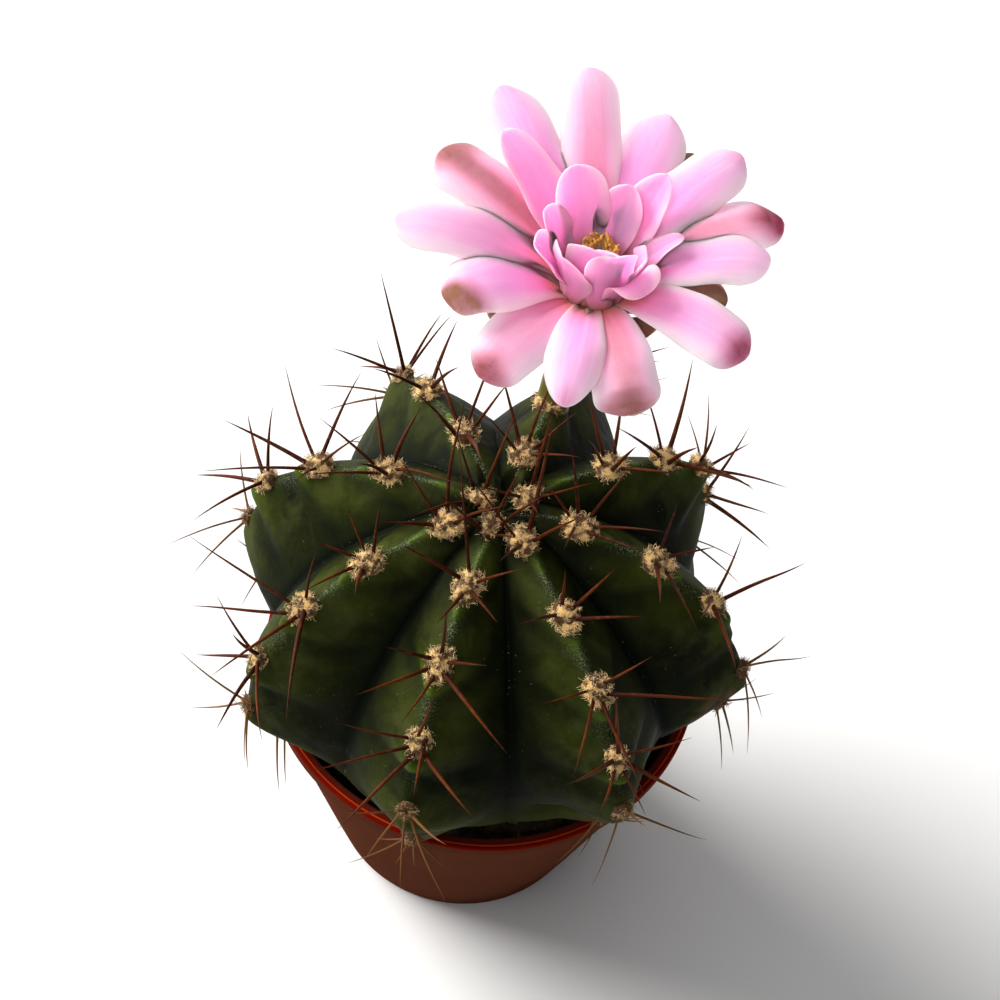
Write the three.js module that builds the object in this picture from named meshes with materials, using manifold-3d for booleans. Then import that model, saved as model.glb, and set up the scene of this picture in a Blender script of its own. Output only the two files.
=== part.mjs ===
// A round ribbed cactus in flower, growing in a thin plastic nursery pot.
// Millimetres, +Z up. The origin is the middle of the pot's underside, and the front is -Y.

import * as THREE from 'three';
import { mergeVertices } from 'three/addons/utils/BufferGeometryUtils.js';
import Module from 'manifold-3d';

const wasm = await Module();
wasm.setup();

const { degToRad, lerp, smoothstep, clamp } = THREE.MathUtils;
const turn = 2 * Math.PI;

// Clearance between pieces that touch
const GAP = 0.35;

// Pot
const POT_HEIGHT = 55;
const RIM_RADIUS = 37.5;
const BASE_RADIUS = 24.6;
const WALL = 1.3;
const FLOOR = 2.2;
const LIP_HEIGHT = 3.4;
const LIP_PROUD = 1.1;
const EDGE_ROUND = 0.7;
const POT_SIDES = 40;
const DRAIN_COUNT = 6;
const DRAIN_RADIUS = 3.2;
const DRAIN_CIRCLE = 17;

// Soil
const SOIL_TOP = 47.5;
const SOIL_CROWN = 0.8;
const SOIL_SIDES = 28;

// Stem: its widest level stands above the rim, and the whole stem leans towards -X
const STEM_PLACE = { x: 1.4, y: 0.1, z: 68.2 };
const STEM_LEAN = 4;
const BODY_RADIUS = 43.3;
const CROWN_RISE = 32.7;
const CROWN_POWER = 2.25;
const UNDER_DROP = 21;
const UNDER_POWER = 2.4;
const NECK_LEVEL = -57;
const ROOT_DROP = 13;
const CROWN_SINK = 3;
const CROWN_WIDTH = 10;
const FLANK_SWELL = 1.2;
const KNOB = 1.1;
const RIM_CLEAR = 0.45;
// Levels are degrees round the profile: 90 at the crown, 0 at the widest, -90 at the root's end
const STEM_LEVELS = [-83, -72, -57, -47, -38, -30, -22, -14, -6, 2, 10, 18, 26, 34, 42, 51, 60, 69, 78, 86];
const FLANK_STEPS = [0, 0.12, 0.31, 0.5, 0.69, 0.88];
// A rib's tuck is the share of the radius that it draws in, and the levels where that starts and is full
const RIBS = [
  { azimuth: 257.5, size: 0.95, areoles: [85, 71, 52, 31, 6, -21] },
  { azimuth: 304.1, size: 1.01, tuck: [0.12, 14, -16], areoles: [82, 64, 46, 27, 7, -18] },
  { azimuth: 350.3, size: 0.95, areoles: [75, 55, 35, 4, -22] },
  { azimuth: 33.3, size: 1.0, tuck: [0.17, 38, 0], areoles: [85, 67, 50, 35, 17, -3, -27] },
  { azimuth: 76.9, size: 1.01, areoles: [79, 60, 41, 22, 2, -24] },
  { azimuth: 121.9, size: 1.02, areoles: [73, 53, 29, 8, -18] },
  { azimuth: 166.6, size: 1.04, areoles: [86, 68, 49, 27, 4, -21] },
  { azimuth: 211.8, size: 1.01, areoles: [80, 62, 43, 21, 0, -29] },
];

// Wool tufts and spines
const TUFT = { length: 2.8, width: 2.4, height: 1.7, sink: 1.3, sides: 6 };
const SPINE = { radius: 0.48, middle: 0.75, curl: 0.12, tries: 14, between: 36 };
// One value for each facet of the tuft, from the lowest round to the other side
const SPINE_AROUND = [180, 126, 74, 5, 288, 232];
const SPINE_LENGTH = [11, 14.5, 13.5, 11.5, 13.5, 14.5];
const SPINE_CHANCE = [0.35, 0.95, 0.9, 0.7, 0.9, 0.95];
// Spines of the areoles in front, by rib and areole: degrees round from straight up, lift and length
const MARKED_SPINES = {
  '0 0': [[20, 56, 12], [255, 60, 13], [130, 58, 11]],
  '0 1': [[80, 56, 14], [265, 54, 14.5], [338, 42, 22], [180, 55, 14]],
  '0 2': [[268, 46, 9], [190, 45, 11], [75, 50, 11], [0, 48, 10.5]],
  '0 3': [[250, 38, 17], [212, 38, 17], [107, 38, 15], [170, 40, 9]],
  '0 4': [[45, 38, 15], [170, 36, 13], [205, 34, 10.5], [300, 40, 12]],
  '1 0': [[40, 50, 20], [325, 56, 15], [125, 60, 13]],
  '1 1': [[74, 52, 11.5], [267, 53, 14], [20, 56, 8]],
  '1 2': [[230, 38, 15], [113, 34, 21.5], [186, 36, 16.5], [75, 41, 9.5]],
  '1 3': [[134, 38, 13], [247, 46, 9], [175, 38, 8]],
  '2 0': [[47, 57, 13], [118, 57, 12.5], [195, 49, 16], [275, 45, 13]],
  '2 1': [[75, 42, 9.5], [150, 43, 8], [275, 41, 15]],
  '2 2': [[123, 38, 17], [265, 36, 15.5], [305, 30, 13], [60, 40, 11]],
  '3 1': [[303, 65, 17], [345, 56, 15], [110, 56, 12]],
  '3 2': [[119, 40, 18], [315, 54, 16], [60, 44, 12]],
  '3 3': [[159, 35, 13], [297, 30, 15], [345, 40, 15], [100, 38, 13]],
  '5 0': [[10, 35, 18], [60, 66, 16], [300, 60, 15]],
  '5 1': [[56, 46, 15.5], [350, 39, 15], [240, 44, 12]],
  '5 2': [[5, 56, 23], [158, 22, 13], [70, 40, 14], [250, 40, 14]],
  '6 1': [[252, 52, 12], [76, 62, 16], [20, 30, 19], [330, 60, 14]],
  '6 2': [[242, 40, 18], [149, 38, 18], [190, 41, 17], [60, 40, 11]],
  '6 3': [[247, 35, 14], [185, 37, 15], [94, 34, 15], [310, 38, 12]],
  '6 4': [[208, 33, 14], [120, 30, 13], [290, 36, 12]],
  '7 0': [[249, 57, 13.5], [310, 50, 20], [43, 52, 16]],
  '7 1': [[284, 49, 9], [331, 52, 11], [220, 50, 8], [100, 50, 12]],
  '7 2': [[250, 39, 21], [215, 38, 17], [165, 37, 17], [111, 27, 20]],
  '7 3': [[222, 33, 11], [15, 45, 15], [150, 36, 12]],
};

// Flower: it leaves the second areole of the fifth rib
const FLOWER_RIB = 4;
const FLOWER_AREOLE = 1;
const HEAD_PLACE = { x: 7.5, y: 24.2, z: 125.8 };
const HEAD_TILT = 8;
const TUBE_FOOT = 2.7;
const TUBE_WAIST = 2.9;
const TUBE_MOUTH = 6.6;
const TUBE_SINK = 1.2;
const TUBE_SHARES = [0, 0.12, 0.3, 0.48, 0.62, 0.74, 0.85, 0.93, 1];
const TUBE_SIDES = 14;
const HANDLE = { foot: 9, mouth: 13 };
const CUP_MOUTH = 5.3;
const CUP_WALL = 1.0;
const CUP_DEPTH = 8.5;
const CUP_TOP = 1.9;
const CUP_LEDGE = -0.6;
const CUP_FOOT = 1.9;
const CUP_SIDES = 16;
const SCALE_COUNT = 13;
const SCALE = { lowest: 0.24, highest: 0.84, length: [2.8, 5.2], width: [1.5, 2.6], keel: 0.9, inside: 0.9 };
const GOLDEN_ANGLE = 137.5;
const PETAL_THICK = 0.95;
const PETAL_PULL = 0.38;
// Share of the blade's length where its width is full and where its tip begins to round off
const PETAL_FULL = 0.58;
const PETAL_TIP = 0.75;
const PETAL_WAIST = 0.4;
const OUTER_ROOT = [4.7, 1.4];
const INNER_ROOT = [4.8, 0.6];
const SEPAL_ROOT = [5.7, -2.4];
const PETAL_ROWS = [0, 0.2, 0.42, 0.62, 0.8, 0.93, 0.985];
const INNER_ROWS = [0, 0.24, 0.48, 0.72, 0.89, 0.975];
const SEPAL_ROWS = [0, 0.3, 0.62, 0.86, 0.97];
const BLADE_COLUMNS = [-1, -0.55, 0, 0.55, 1];
const BLADE_SECTION = [0, 0.85, 1, 0.85, 0];
const OUTER_PETALS = [
  { azimuth: 100, reach: 30.2, rise: 14.4, width: 8.8, arrive: 8 },
  { azimuth: 75, reach: 28.6, rise: 8.6, width: 10.2, arrive: -8 },
  { azimuth: 47, reach: 29.2, rise: 9.6, width: 9.6, arrive: -14 },
  { azimuth: 26, reach: 30.2, rise: 6.4, width: 9.0, arrive: -24 },
  { azimuth: 7, reach: 26.4, rise: 9.0, width: 9.2, arrive: -16 },
  { azimuth: 331, reach: 26.8, rise: 8.6, width: 9.6, arrive: -34 },
  { azimuth: 288, reach: 25.4, rise: 6.2, width: 9.8, arrive: -46 },
  { azimuth: 263.5, reach: 25.6, rise: 9.0, width: 8.6, arrive: -36 },
  { azimuth: 239, reach: 26.2, rise: 5.6, width: 10.4, arrive: -40 },
  { azimuth: 211, reach: 25.0, rise: 10.6, width: 10.0, arrive: -30 },
  { azimuth: 183, reach: 30.4, rise: 12.8, width: 9.4, arrive: -14 },
  { azimuth: 157, reach: 28.0, rise: 13.4, width: 9.0, arrive: -4 },
  { azimuth: 127, reach: 30.6, rise: 12.6, width: 9.4, arrive: 2 },
];
const INNER_PETALS = [
  { azimuth: 144, reach: 22.6, rise: 15.2, width: 7.6, leave: 62, arrive: 18 },
  { azimuth: 117, reach: 12.0, rise: 15.4, width: 8.8, leave: 80, arrive: 48 },
  { azimuth: 69, reach: 11.0, rise: 12.8, width: 7.0, leave: 84, arrive: 56 },
  { azimuth: 46, reach: 14.2, rise: 14.4, width: 6.8, leave: 78, arrive: 44 },
  { azimuth: 24, reach: 13.0, rise: 10.6, width: 7.0, leave: 66, arrive: 30 },
  { azimuth: 350, reach: 8.6, rise: 14.0, width: 7.3, leave: 84, arrive: 60 },
  { azimuth: 316, reach: 11.4, rise: 12.6, width: 7.9, leave: 86, arrive: -28 },
  { azimuth: 291, reach: 6.2, rise: 17.4, width: 7.9, leave: 86, arrive: 84 },
  { azimuth: 258, reach: 6.0, rise: 17.0, width: 8.4, leave: 86, arrive: 86 },
  { azimuth: 226, reach: 7.6, rise: 15.8, width: 8.1, leave: 84, arrive: 74 },
  { azimuth: 194, reach: 10.2, rise: 13.6, width: 7.7, leave: 80, arrive: 56 },
  { azimuth: 160, reach: 9.4, rise: 15.0, width: 7.0, leave: 82, arrive: 60 },
];
const SEPALS = [
  { azimuth: 62, reach: 27.0, rise: 4.8, width: 6.6, arrive: -6 },
  { azimuth: 349, reach: 22.0, rise: 3.4, width: 6.4, arrive: -12 },
  { azimuth: 309, reach: 17.5, rise: 2.0, width: 6.0, arrive: -10 },
  { azimuth: 263, reach: 16.5, rise: 1.8, width: 5.6, arrive: -10 },
  { azimuth: 213, reach: 19.0, rise: 3.0, width: 6.2, arrive: -10 },
  { azimuth: 169, reach: 23.0, rise: 6.0, width: 6.6, arrive: -4 },
  { azimuth: 114, reach: 23.5, rise: 6.0, width: 6.4, arrive: -4 },
];

// Stamens and style
const STAMEN_COUNT = 18;
const COLLAR_RADIUS = 2.1;
const COLLAR_HEIGHT = -3.6;
const FILAMENT_RADIUS = 0.3;
const ANTHER_HEIGHT = 10.8;
const ANTHER_SPREAD = 3.4;
const STYLE_RADIUS = 0.55;
const STYLE_TOP = 8.6;
const STIGMA_RADIUS = 1.15;

// A repeatable number from 0 to 1 for each pair of whole numbers
function chance(first, second) {
  const value = Math.sin(first * 127.1 + second * 311.7) * 43758.5453;
  return value - Math.floor(value);
}

const spread = (first, second, reach) => (chance(first, second) * 2 - 1) * reach;

// Closed surfaces

function surfaceOf(points, faces) {
  const surface = new THREE.BufferGeometry();
  const numbers = points.flatMap((point) => [point.x, point.y, point.z]);
  surface.setAttribute('position', new THREE.Float32BufferAttribute(numbers, 3));
  surface.setIndex(faces.flat());
  return surface;
}

// Skin over rings of equal length, with a point at each end.
// Seen from the last point, the rings run anticlockwise.
function skin(first, rings, last) {
  const sides = rings[0].length;
  const points = [first, ...rings.flat(), last];
  const at = (ring, side) => 1 + ring * sides + (side % sides);
  const faces = [];
  for (let side = 0; side < sides; side += 1) {
    faces.push([0, at(0, side + 1), at(0, side)]);
    for (let ring = 1; ring < rings.length; ring += 1) {
      faces.push([at(ring - 1, side), at(ring - 1, side + 1), at(ring, side + 1)]);
      faces.push([at(ring - 1, side), at(ring, side + 1), at(ring, side)]);
    }
    faces.push([at(rings.length - 1, side), at(rings.length - 1, side + 1), points.length - 1]);
  }
  return surfaceOf(points, faces);
}

// Ring of points round a centre, in the plane across a direction that isn't along X
function ringAcross(centre, direction, radius, sides) {
  const across = new THREE.Vector3(1, 0, 0).cross(direction).normalize();
  const other = new THREE.Vector3().crossVectors(direction, across);
  return Array.from({ length: sides }, (_, side) => {
    const angle = (side / sides) * turn;
    return centre.clone()
      .addScaledVector(across, radius * Math.cos(angle))
      .addScaledVector(other, radius * Math.sin(angle));
  });
}

// Thin blade along a curve, with sharp edges and both faces split alike
function blade({ curve, side, halfWidth, cupping, thickness, rows }) {
  const points = [];
  const last = BLADE_COLUMNS.length - 1;
  const upper = (row, column) => row * (2 * last) + column;
  const lower = (row, column) => (column % last === 0 ? upper(row, column) : upper(row, last) + column);
  rows.forEach((share) => {
    const middle = curve.getPoint(share);
    const face = new THREE.Vector3().crossVectors(side, curve.getTangent(share)).normalize();
    const half = halfWidth(share);
    const skinPoint = (column, lift) => {
      const out = BLADE_COLUMNS[column];
      return middle.clone()
        .addScaledVector(side, out * half)
        .addScaledVector(face, cupping(share) * out * out * half + lift * thickness * BLADE_SECTION[column]);
    };
    for (let column = 0; column <= last; column += 1) points.push(skinPoint(column, 0.5));
    for (let column = 1; column < last; column += 1) points.push(skinPoint(column, -0.5));
  });
  const tip = points.length;
  points.push(curve.getPoint(1));
  const faces = [];
  const end = rows.length - 1;
  for (let column = 0; column < last; column += 1) {
    for (let row = 0; row < end; row += 1) {
      const corners = [[row, column], [row, column + 1], [row + 1, column + 1], [row + 1, column]];
      const [a, b, c, d] = corners.map((corner) => upper(...corner));
      const [e, f, g, h] = corners.map((corner) => lower(...corner));
      faces.push([a, b, c], [a, c, d], [e, g, f], [e, h, g]);
    }
    faces.push([upper(end, column), upper(end, column + 1), tip]);
    faces.push([lower(end, column + 1), lower(end, column), tip]);
    if (column > 0) faces.push([upper(0, column), lower(0, column), lower(0, column + 1)]);
    if (column < last - 1) faces.push([upper(0, column), lower(0, column + 1), upper(0, column + 1)]);
  }
  return surfaceOf(points, faces);
}

// Joining and cutting

function solidOf(surface) {
  const bare = surface.clone();
  bare.deleteAttribute('normal');
  bare.deleteAttribute('uv');
  const merged = mergeVertices(bare, 1e-4);
  const corners = [];
  for (let start = 0; start < merged.index.count; start += 3) {
    const triangle = [0, 1, 2].map((step) => merged.index.getX(start + step));
    if (new Set(triangle).size === 3) corners.push(...triangle);
  }
  return new wasm.Manifold(new wasm.Mesh({
    numProp: 3,
    vertProperties: merged.attributes.position.array,
    triVerts: new Uint32Array(corners),
  }));
}

function geometryOf(solid) {
  const { vertProperties, triVerts } = solid.getMesh();
  const geometry = new THREE.BufferGeometry();
  geometry.setAttribute('position', new THREE.Float32BufferAttribute(vertProperties, 3));
  geometry.setIndex(Array.from(triVerts));
  geometry.computeVertexNormals();
  return geometry;
}

const joined = (surfaces) => surfaces.map(solidOf).reduce((whole, piece) => whole.add(piece));

const lathe = (outline, sides) => new THREE.LatheGeometry(
  outline.map(([radius, height]) => new THREE.Vector2(radius, height)),
  sides,
).rotateX(Math.PI / 2);

// Pot: a thin tapered wall with a thicker lip, closed below by a flat floor with drain holes

const wallRadius = (height) => lerp(BASE_RADIUS, RIM_RADIUS - LIP_PROUD, height / (POT_HEIGHT - LIP_HEIGHT));
const insideRadius = (height) => wallRadius(height) - WALL;

function potOutline(clear) {
  const lipFoot = POT_HEIGHT - LIP_HEIGHT;
  const inside = insideRadius(lipFoot);
  return [
    [0, -clear],
    [BASE_RADIUS - EDGE_ROUND + clear, -clear],
    [BASE_RADIUS + clear, EDGE_ROUND],
    [wallRadius(lipFoot - 1) + clear, lipFoot - 1],
    [RIM_RADIUS - 0.2 + clear, lipFoot],
    [RIM_RADIUS + clear, POT_HEIGHT - EDGE_ROUND],
    [RIM_RADIUS - EDGE_ROUND + clear, POT_HEIGHT + clear],
    [RIM_RADIUS - 2 * EDGE_ROUND - clear, POT_HEIGHT + clear],
    [inside - clear, lipFoot],
    [insideRadius(FLOOR) - clear, FLOOR + clear],
    [0, FLOOR + clear],
  ];
}

function potGeometry() {
  let pot = solidOf(lathe(potOutline(0), POT_SIDES));
  for (let drain = 0; drain < DRAIN_COUNT; drain += 1) {
    const angle = ((drain + 0.5) / DRAIN_COUNT) * turn;
    const bore = new THREE.CylinderGeometry(DRAIN_RADIUS, DRAIN_RADIUS, 3 * FLOOR, 12).rotateX(Math.PI / 2);
    bore.translate(DRAIN_CIRCLE * Math.cos(angle), DRAIN_CIRCLE * Math.sin(angle), FLOOR / 2);
    pot = pot.subtract(solidOf(bore));
  }
  return geometryOf(pot);
}

// Stem: eight ribs on a flattened round body, narrowing to a root that stands in the soil

const power = (value, exponent) => Math.max(value, 0) ** exponent;

function profile(level) {
  if (level < NECK_LEVEL) {
    const [radius, height] = profile(NECK_LEVEL);
    const angle = degToRad(((NECK_LEVEL - level) / (NECK_LEVEL + 90)) * 90);
    return [radius * power(Math.cos(angle), 0.8), height - ROOT_DROP * power(Math.sin(angle), 0.8)];
  }
  const angle = degToRad(Math.abs(level));
  const above = level > 0;
  const exponent = 2 / (above ? CROWN_POWER : UNDER_POWER);
  const height = (above ? CROWN_RISE : -UNDER_DROP) * power(Math.sin(angle), exponent);
  return [BODY_RADIUS * power(Math.cos(angle), exponent), height];
}

// Share of the crest's radius that the valley between two ribs has
function valleyShare(level) {
  const upper = clamp(0.84 - 0.0054 * level, 0.48, 0.84);
  return lerp(upper, 0.97, smoothstep(-level, 25, -NECK_LEVEL));
}

function ribSize({ size, tuck: [share, start, full] = [0, 0, -1] }, level) {
  return size - share * smoothstep(-level, -start, -full);
}

// Swelling below each areole and notch above it
function knob(rib, level) {
  return rib.areoles.reduce((sum, areole) => {
    const chin = Math.exp(-(((level - areole + 5) / 5) ** 2));
    const notch = Math.exp(-(((level - areole - 9) / 5) ** 2));
    return sum + KNOB * (chin - 0.8 * notch);
  }, 0);
}

// Point on the body a share of the way from one rib's crest to the next
function bodyPoint(index, share, level) {
  const rib = RIBS[index];
  const next = RIBS[(index + 1) % RIBS.length];
  const step = (next.azimuth - rib.azimuth + 360) % 360;
  const nearer = share < 0.5 ? rib : next;
  const away = degToRad(step * Math.min(share, 1 - share));
  const half = degToRad(step / 2);
  const [radius, height] = profile(level);
  const crest = radius * ribSize(nearer, level);
  const valley = radius * ((ribSize(rib, level) + ribSize(next, level)) / 2) * valleyShare(level);
  const flat = (crest * valley * Math.sin(half))
    / (crest * Math.sin(away) + valley * Math.sin(half - away));
  const swell = FLANK_SWELL * (radius / BODY_RADIUS) * Math.sin((Math.PI * away) / half);
  const onCrest = power(1 - away / (0.5 * half), 2) * smoothstep(radius, 2, 20);
  const reach = flat + swell + knob(nearer, level) * onCrest;
  const azimuth = degToRad(rib.azimuth + step * share);
  const sink = CROWN_SINK * power(1 - (radius / CROWN_WIDTH) ** 2, 2);
  return new THREE.Vector3(reach * Math.cos(azimuth), reach * Math.sin(azimuth), height - sink);
}

function bodySurface() {
  const rings = STEM_LEVELS.map((level) => RIBS.flatMap(
    (_, index) => FLANK_STEPS.map((share) => bodyPoint(index, share, level)),
  ));
  const root = new THREE.Vector3(0, 0, profile(-90)[1]);
  const crown = new THREE.Vector3(0, 0, CROWN_RISE - CROWN_SINK);
  return skin(root, rings, crown);
}

// Place and directions of an areole: out of the body, up along the crest and sideways
function areoleFrame(index, level) {
  const rib = RIBS[index];
  const [upRadius, upHeight] = profile(level + 1);
  const [downRadius, downHeight] = profile(level - 1);
  const azimuth = degToRad(rib.azimuth);
  const radial = new THREE.Vector3(Math.cos(azimuth), Math.sin(azimuth), 0);
  const side = new THREE.Vector3(-Math.sin(azimuth), Math.cos(azimuth), 0);
  const up = radial.clone()
    .multiplyScalar(upRadius * ribSize(rib, level + 1) - downRadius * ribSize(rib, level - 1));
  up.z = upHeight - downHeight;
  up.normalize();
  const out = new THREE.Vector3().crossVectors(side, up);
  return { place: bodyPoint(index, 0, level), out, up, side };
}

// Tuft angles run from below the areole towards its side; a facet's middle lies at its number times a sixth turn
function tuftRing({ place, out, up, side }, seed, share, height) {
  return Array.from({ length: TUFT.sides }, (_, corner) => {
    const angle = ((corner - 0.5) / TUFT.sides) * turn;
    const size = share * (1 + spread(seed, corner, 0.1));
    return place.clone()
      .addScaledVector(side, Math.sin(angle) * TUFT.width * size)
      .addScaledVector(up, -Math.cos(angle) * TUFT.length * size)
      .addScaledVector(out, height);
  });
}

// Curved spine that leaves its facet and bends back towards the body
function spinePath({ out, up, side }, start, around, lift, length) {
  const angle = degToRad(around);
  const rise = degToRad(lift);
  const along = up.clone().multiplyScalar(Math.cos(angle)).addScaledVector(side, Math.sin(angle));
  const way = out.clone().multiplyScalar(Math.sin(rise)).addScaledVector(along, Math.cos(rise));
  const at = (share) => start.clone()
    .addScaledVector(way, length * share)
    .addScaledVector(out, -SPINE.curl * length * share * share);
  return [at(0.5), at(1)];
}

// Low woolly dome; three-sided spines are drawn out of its upper facets
function areoleSurface(frame, seed, spineFor) {
  const { place, out } = frame;
  const low = tuftRing(frame, seed, 0.8, -TUFT.sink * 0.6);
  const high = tuftRing(frame, seed, 1, TUFT.height * 0.35);
  const points = [
    place.clone().addScaledVector(out, -TUFT.sink),
    ...low,
    ...high,
    place.clone().addScaledVector(out, TUFT.height),
  ];
  const top = points.length - 1;
  const faces = [];
  for (let facet = 0; facet < TUFT.sides; facet += 1) {
    const next = (facet + 1) % TUFT.sides;
    const [a, b] = [1 + facet, 1 + next];
    const [c, d] = [a + TUFT.sides, b + TUFT.sides];
    faces.push([0, b, a], [a, b, d], [a, d, c]);
    const centre = points[c].clone().add(points[d]).add(points[top]).divideScalar(3);
    const path = spineFor(facet, centre);
    if (!path) {
      faces.push([c, d, top]);
      continue;
    }
    const [middle, tip] = path;
    const corners = [c, d, top];
    const foot = points.length;
    const offsets = corners.map((corner) => points[corner].clone().sub(centre).setLength(SPINE.radius));
    points.push(...offsets.map((offset) => centre.clone().add(offset)));
    points.push(...offsets.map((offset) => middle.clone().addScaledVector(offset, SPINE.middle)));
    points.push(tip);
    corners.forEach((corner, index) => {
      const after = (index + 1) % 3;
      faces.push([corner, corners[after], foot + after], [corner, foot + after, foot + index]);
      faces.push([foot + index, foot + after, foot + 3 + after], [foot + index, foot + 3 + after, foot + 3 + index]);
      faces.push([foot + 3 + index, foot + 3 + after, foot + 6]);
    });
  }
  return surfaceOf(points, faces);
}

// Places of the stem and of the flower's head in the part's frame

const stem = new THREE.Group();
stem.position.set(STEM_PLACE.x, STEM_PLACE.y, STEM_PLACE.z);
stem.rotation.y = -degToRad(STEM_LEAN);
stem.updateMatrix();

const head = new THREE.Group();
head.position.set(HEAD_PLACE.x, HEAD_PLACE.y, HEAD_PLACE.z);
head.rotation.x = degToRad(HEAD_TILT);
head.updateMatrix();

const stemToHead = head.matrix.clone().invert().multiply(stem.matrix);
const headToStem = stemToHead.clone().invert();
const potToStem = stem.matrix.clone().invert();

// Flower tube: from its areole to the origin of the head's frame, where it opens as a funnel

function tubeCurve() {
  const { place, out } = areoleFrame(FLOWER_RIB, RIBS[FLOWER_RIB].areoles[FLOWER_AREOLE]);
  const foot = place.clone().addScaledVector(out, -TUBE_SINK).applyMatrix4(stemToHead);
  const leave = place.clone().addScaledVector(out, HANDLE.foot).applyMatrix4(stemToHead);
  const below = new THREE.Vector3(0, 0, -HANDLE.mouth);
  return new THREE.CubicBezierCurve3(foot, leave, below, new THREE.Vector3());
}

const tube = tubeCurve();

function tubeRadius(share) {
  const trunk = lerp(TUBE_FOOT, TUBE_WAIST, share);
  return lerp(trunk, TUBE_MOUTH, smoothstep(share, 0.5, 1.02) ** 1.3);
}

function tubeSurface(shares, clear) {
  const centres = shares.map((share) => tube.getPoint(share));
  centres[0].addScaledVector(tube.getTangent(0), -clear);
  const rings = shares.map((share, index) => ringAcross(
    centres[index],
    tube.getTangent(share),
    tubeRadius(share) + clear,
    TUBE_SIDES,
  ));
  return skin(centres[0], rings, centres[centres.length - 1]);
}

// Pointed scale lying against the tube, its tip a little away from it
function scaleSurface(index) {
  const share = lerp(SCALE.lowest, SCALE.highest, index / (SCALE_COUNT - 1));
  const angle = degToRad(index * GOLDEN_ANGLE);
  const length = lerp(...SCALE.length, share);
  const half = lerp(...SCALE.width, share) / 2;
  const waist = length * 0.45;
  const way = tube.getTangent(share);
  const middle = tube.getPoint(share);
  const [ray] = ringAcross(new THREE.Vector3(), way, 1, 1);
  const out = ray.applyAxisAngle(way, angle);
  const side = new THREE.Vector3().crossVectors(out, way);
  const seat = tubeRadius(share);
  const at = (across, along, lift) => middle.clone()
    .addScaledVector(side, across)
    .addScaledVector(way, along)
    .addScaledVector(out, seat + lift);
  const ringAt = (along, lift, low) => [
    at(0, along, lift - SCALE.inside + low),
    at(half, along, lift),
    at(0, along, lift + SCALE.keel),
    at(-half, along, lift),
  ];
  return skin(at(0, -0.8, -0.6), [ringAt(0, 0, 0), ringAt(waist, 0.35, 0.05)], at(0, length, 1));
}

// Petals and sepals: blades in the plane of their azimuth, from the mouth outwards

function headBlade({ azimuth, reach, rise, width, leave, arrive }, root, rows, cupping) {
  const angle = degToRad(azimuth);
  const radial = new THREE.Vector3(Math.cos(angle), Math.sin(angle), 0);
  const side = new THREE.Vector3(Math.sin(angle), -Math.cos(angle), 0);
  const at = ([radius, height]) => radial.clone().multiplyScalar(radius).setZ(height);
  const pull = Math.hypot(reach - root[0], rise - root[1]) * PETAL_PULL;
  const out = degToRad(leave);
  const end = degToRad(arrive);
  const curve = new THREE.CubicBezierCurve3(
    at(root),
    at([root[0] + pull * Math.cos(out), root[1] + pull * Math.sin(out)]),
    at([reach - pull * Math.cos(end), rise - pull * Math.sin(end)]),
    at([reach, rise]),
  );
  const halfWidth = (share) => {
    const body = lerp(PETAL_WAIST, 1, smoothstep(share, 0, PETAL_FULL));
    return (width / 2) * body * Math.sqrt(1 - power((share - PETAL_TIP) / (1 - PETAL_TIP), 2));
  };
  return blade({ curve, side, halfWidth, cupping, thickness: PETAL_THICK, rows });
}

const outerPetal = (petal) => headBlade(
  { leave: 52, ...petal },
  OUTER_ROOT,
  PETAL_ROWS,
  (share) => lerp(0.3, -0.34, smoothstep(share, 0, 0.7)),
);

const innerPetal = (petal) => headBlade(
  petal,
  INNER_ROOT,
  INNER_ROWS,
  (share) => lerp(0.3, 0.42, share),
);

const sepalBlade = (sepal) => headBlade(
  { leave: 28, ...sepal },
  SEPAL_ROOT,
  SEPAL_ROWS,
  (share) => lerp(0.2, -0.25, share),
);

// Throat: a cup that lines the tube's mouth and carries the petals
function cupOutline(clear) {
  const mouth = CUP_MOUTH + clear;
  const low = -CUP_DEPTH - clear;
  return [[0, low], [CUP_FOOT + clear, low], [mouth, CUP_LEDGE], [mouth, CUP_TOP]];
}

function cupSurface() {
  const mouth = CUP_MOUTH - CUP_WALL;
  const low = -CUP_DEPTH + CUP_WALL;
  const lining = [[mouth, CUP_TOP], [mouth, CUP_LEDGE], [CUP_FOOT - CUP_WALL, low], [0, low]];
  return lathe([...cupOutline(0), ...lining], CUP_SIDES);
}

function petalsGeometry() {
  return geometryOf(joined([cupSurface(), ...OUTER_PETALS.map(outerPetal), ...INNER_PETALS.map(innerPetal)]));
}

function tubeGeometry() {
  const scales = Array.from({ length: SCALE_COUNT }, (_, index) => scaleSurface(index));
  const whole = joined([tubeSurface(TUBE_SHARES, 0), ...scales, ...SEPALS.map(sepalBlade)]);
  const bore = lathe([...cupOutline(GAP), [0, CUP_TOP]], CUP_SIDES);
  return geometryOf(whole.subtract(solidOf(bore)));
}

// Stamens: filaments on one collar round the style, each with its anther

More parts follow.
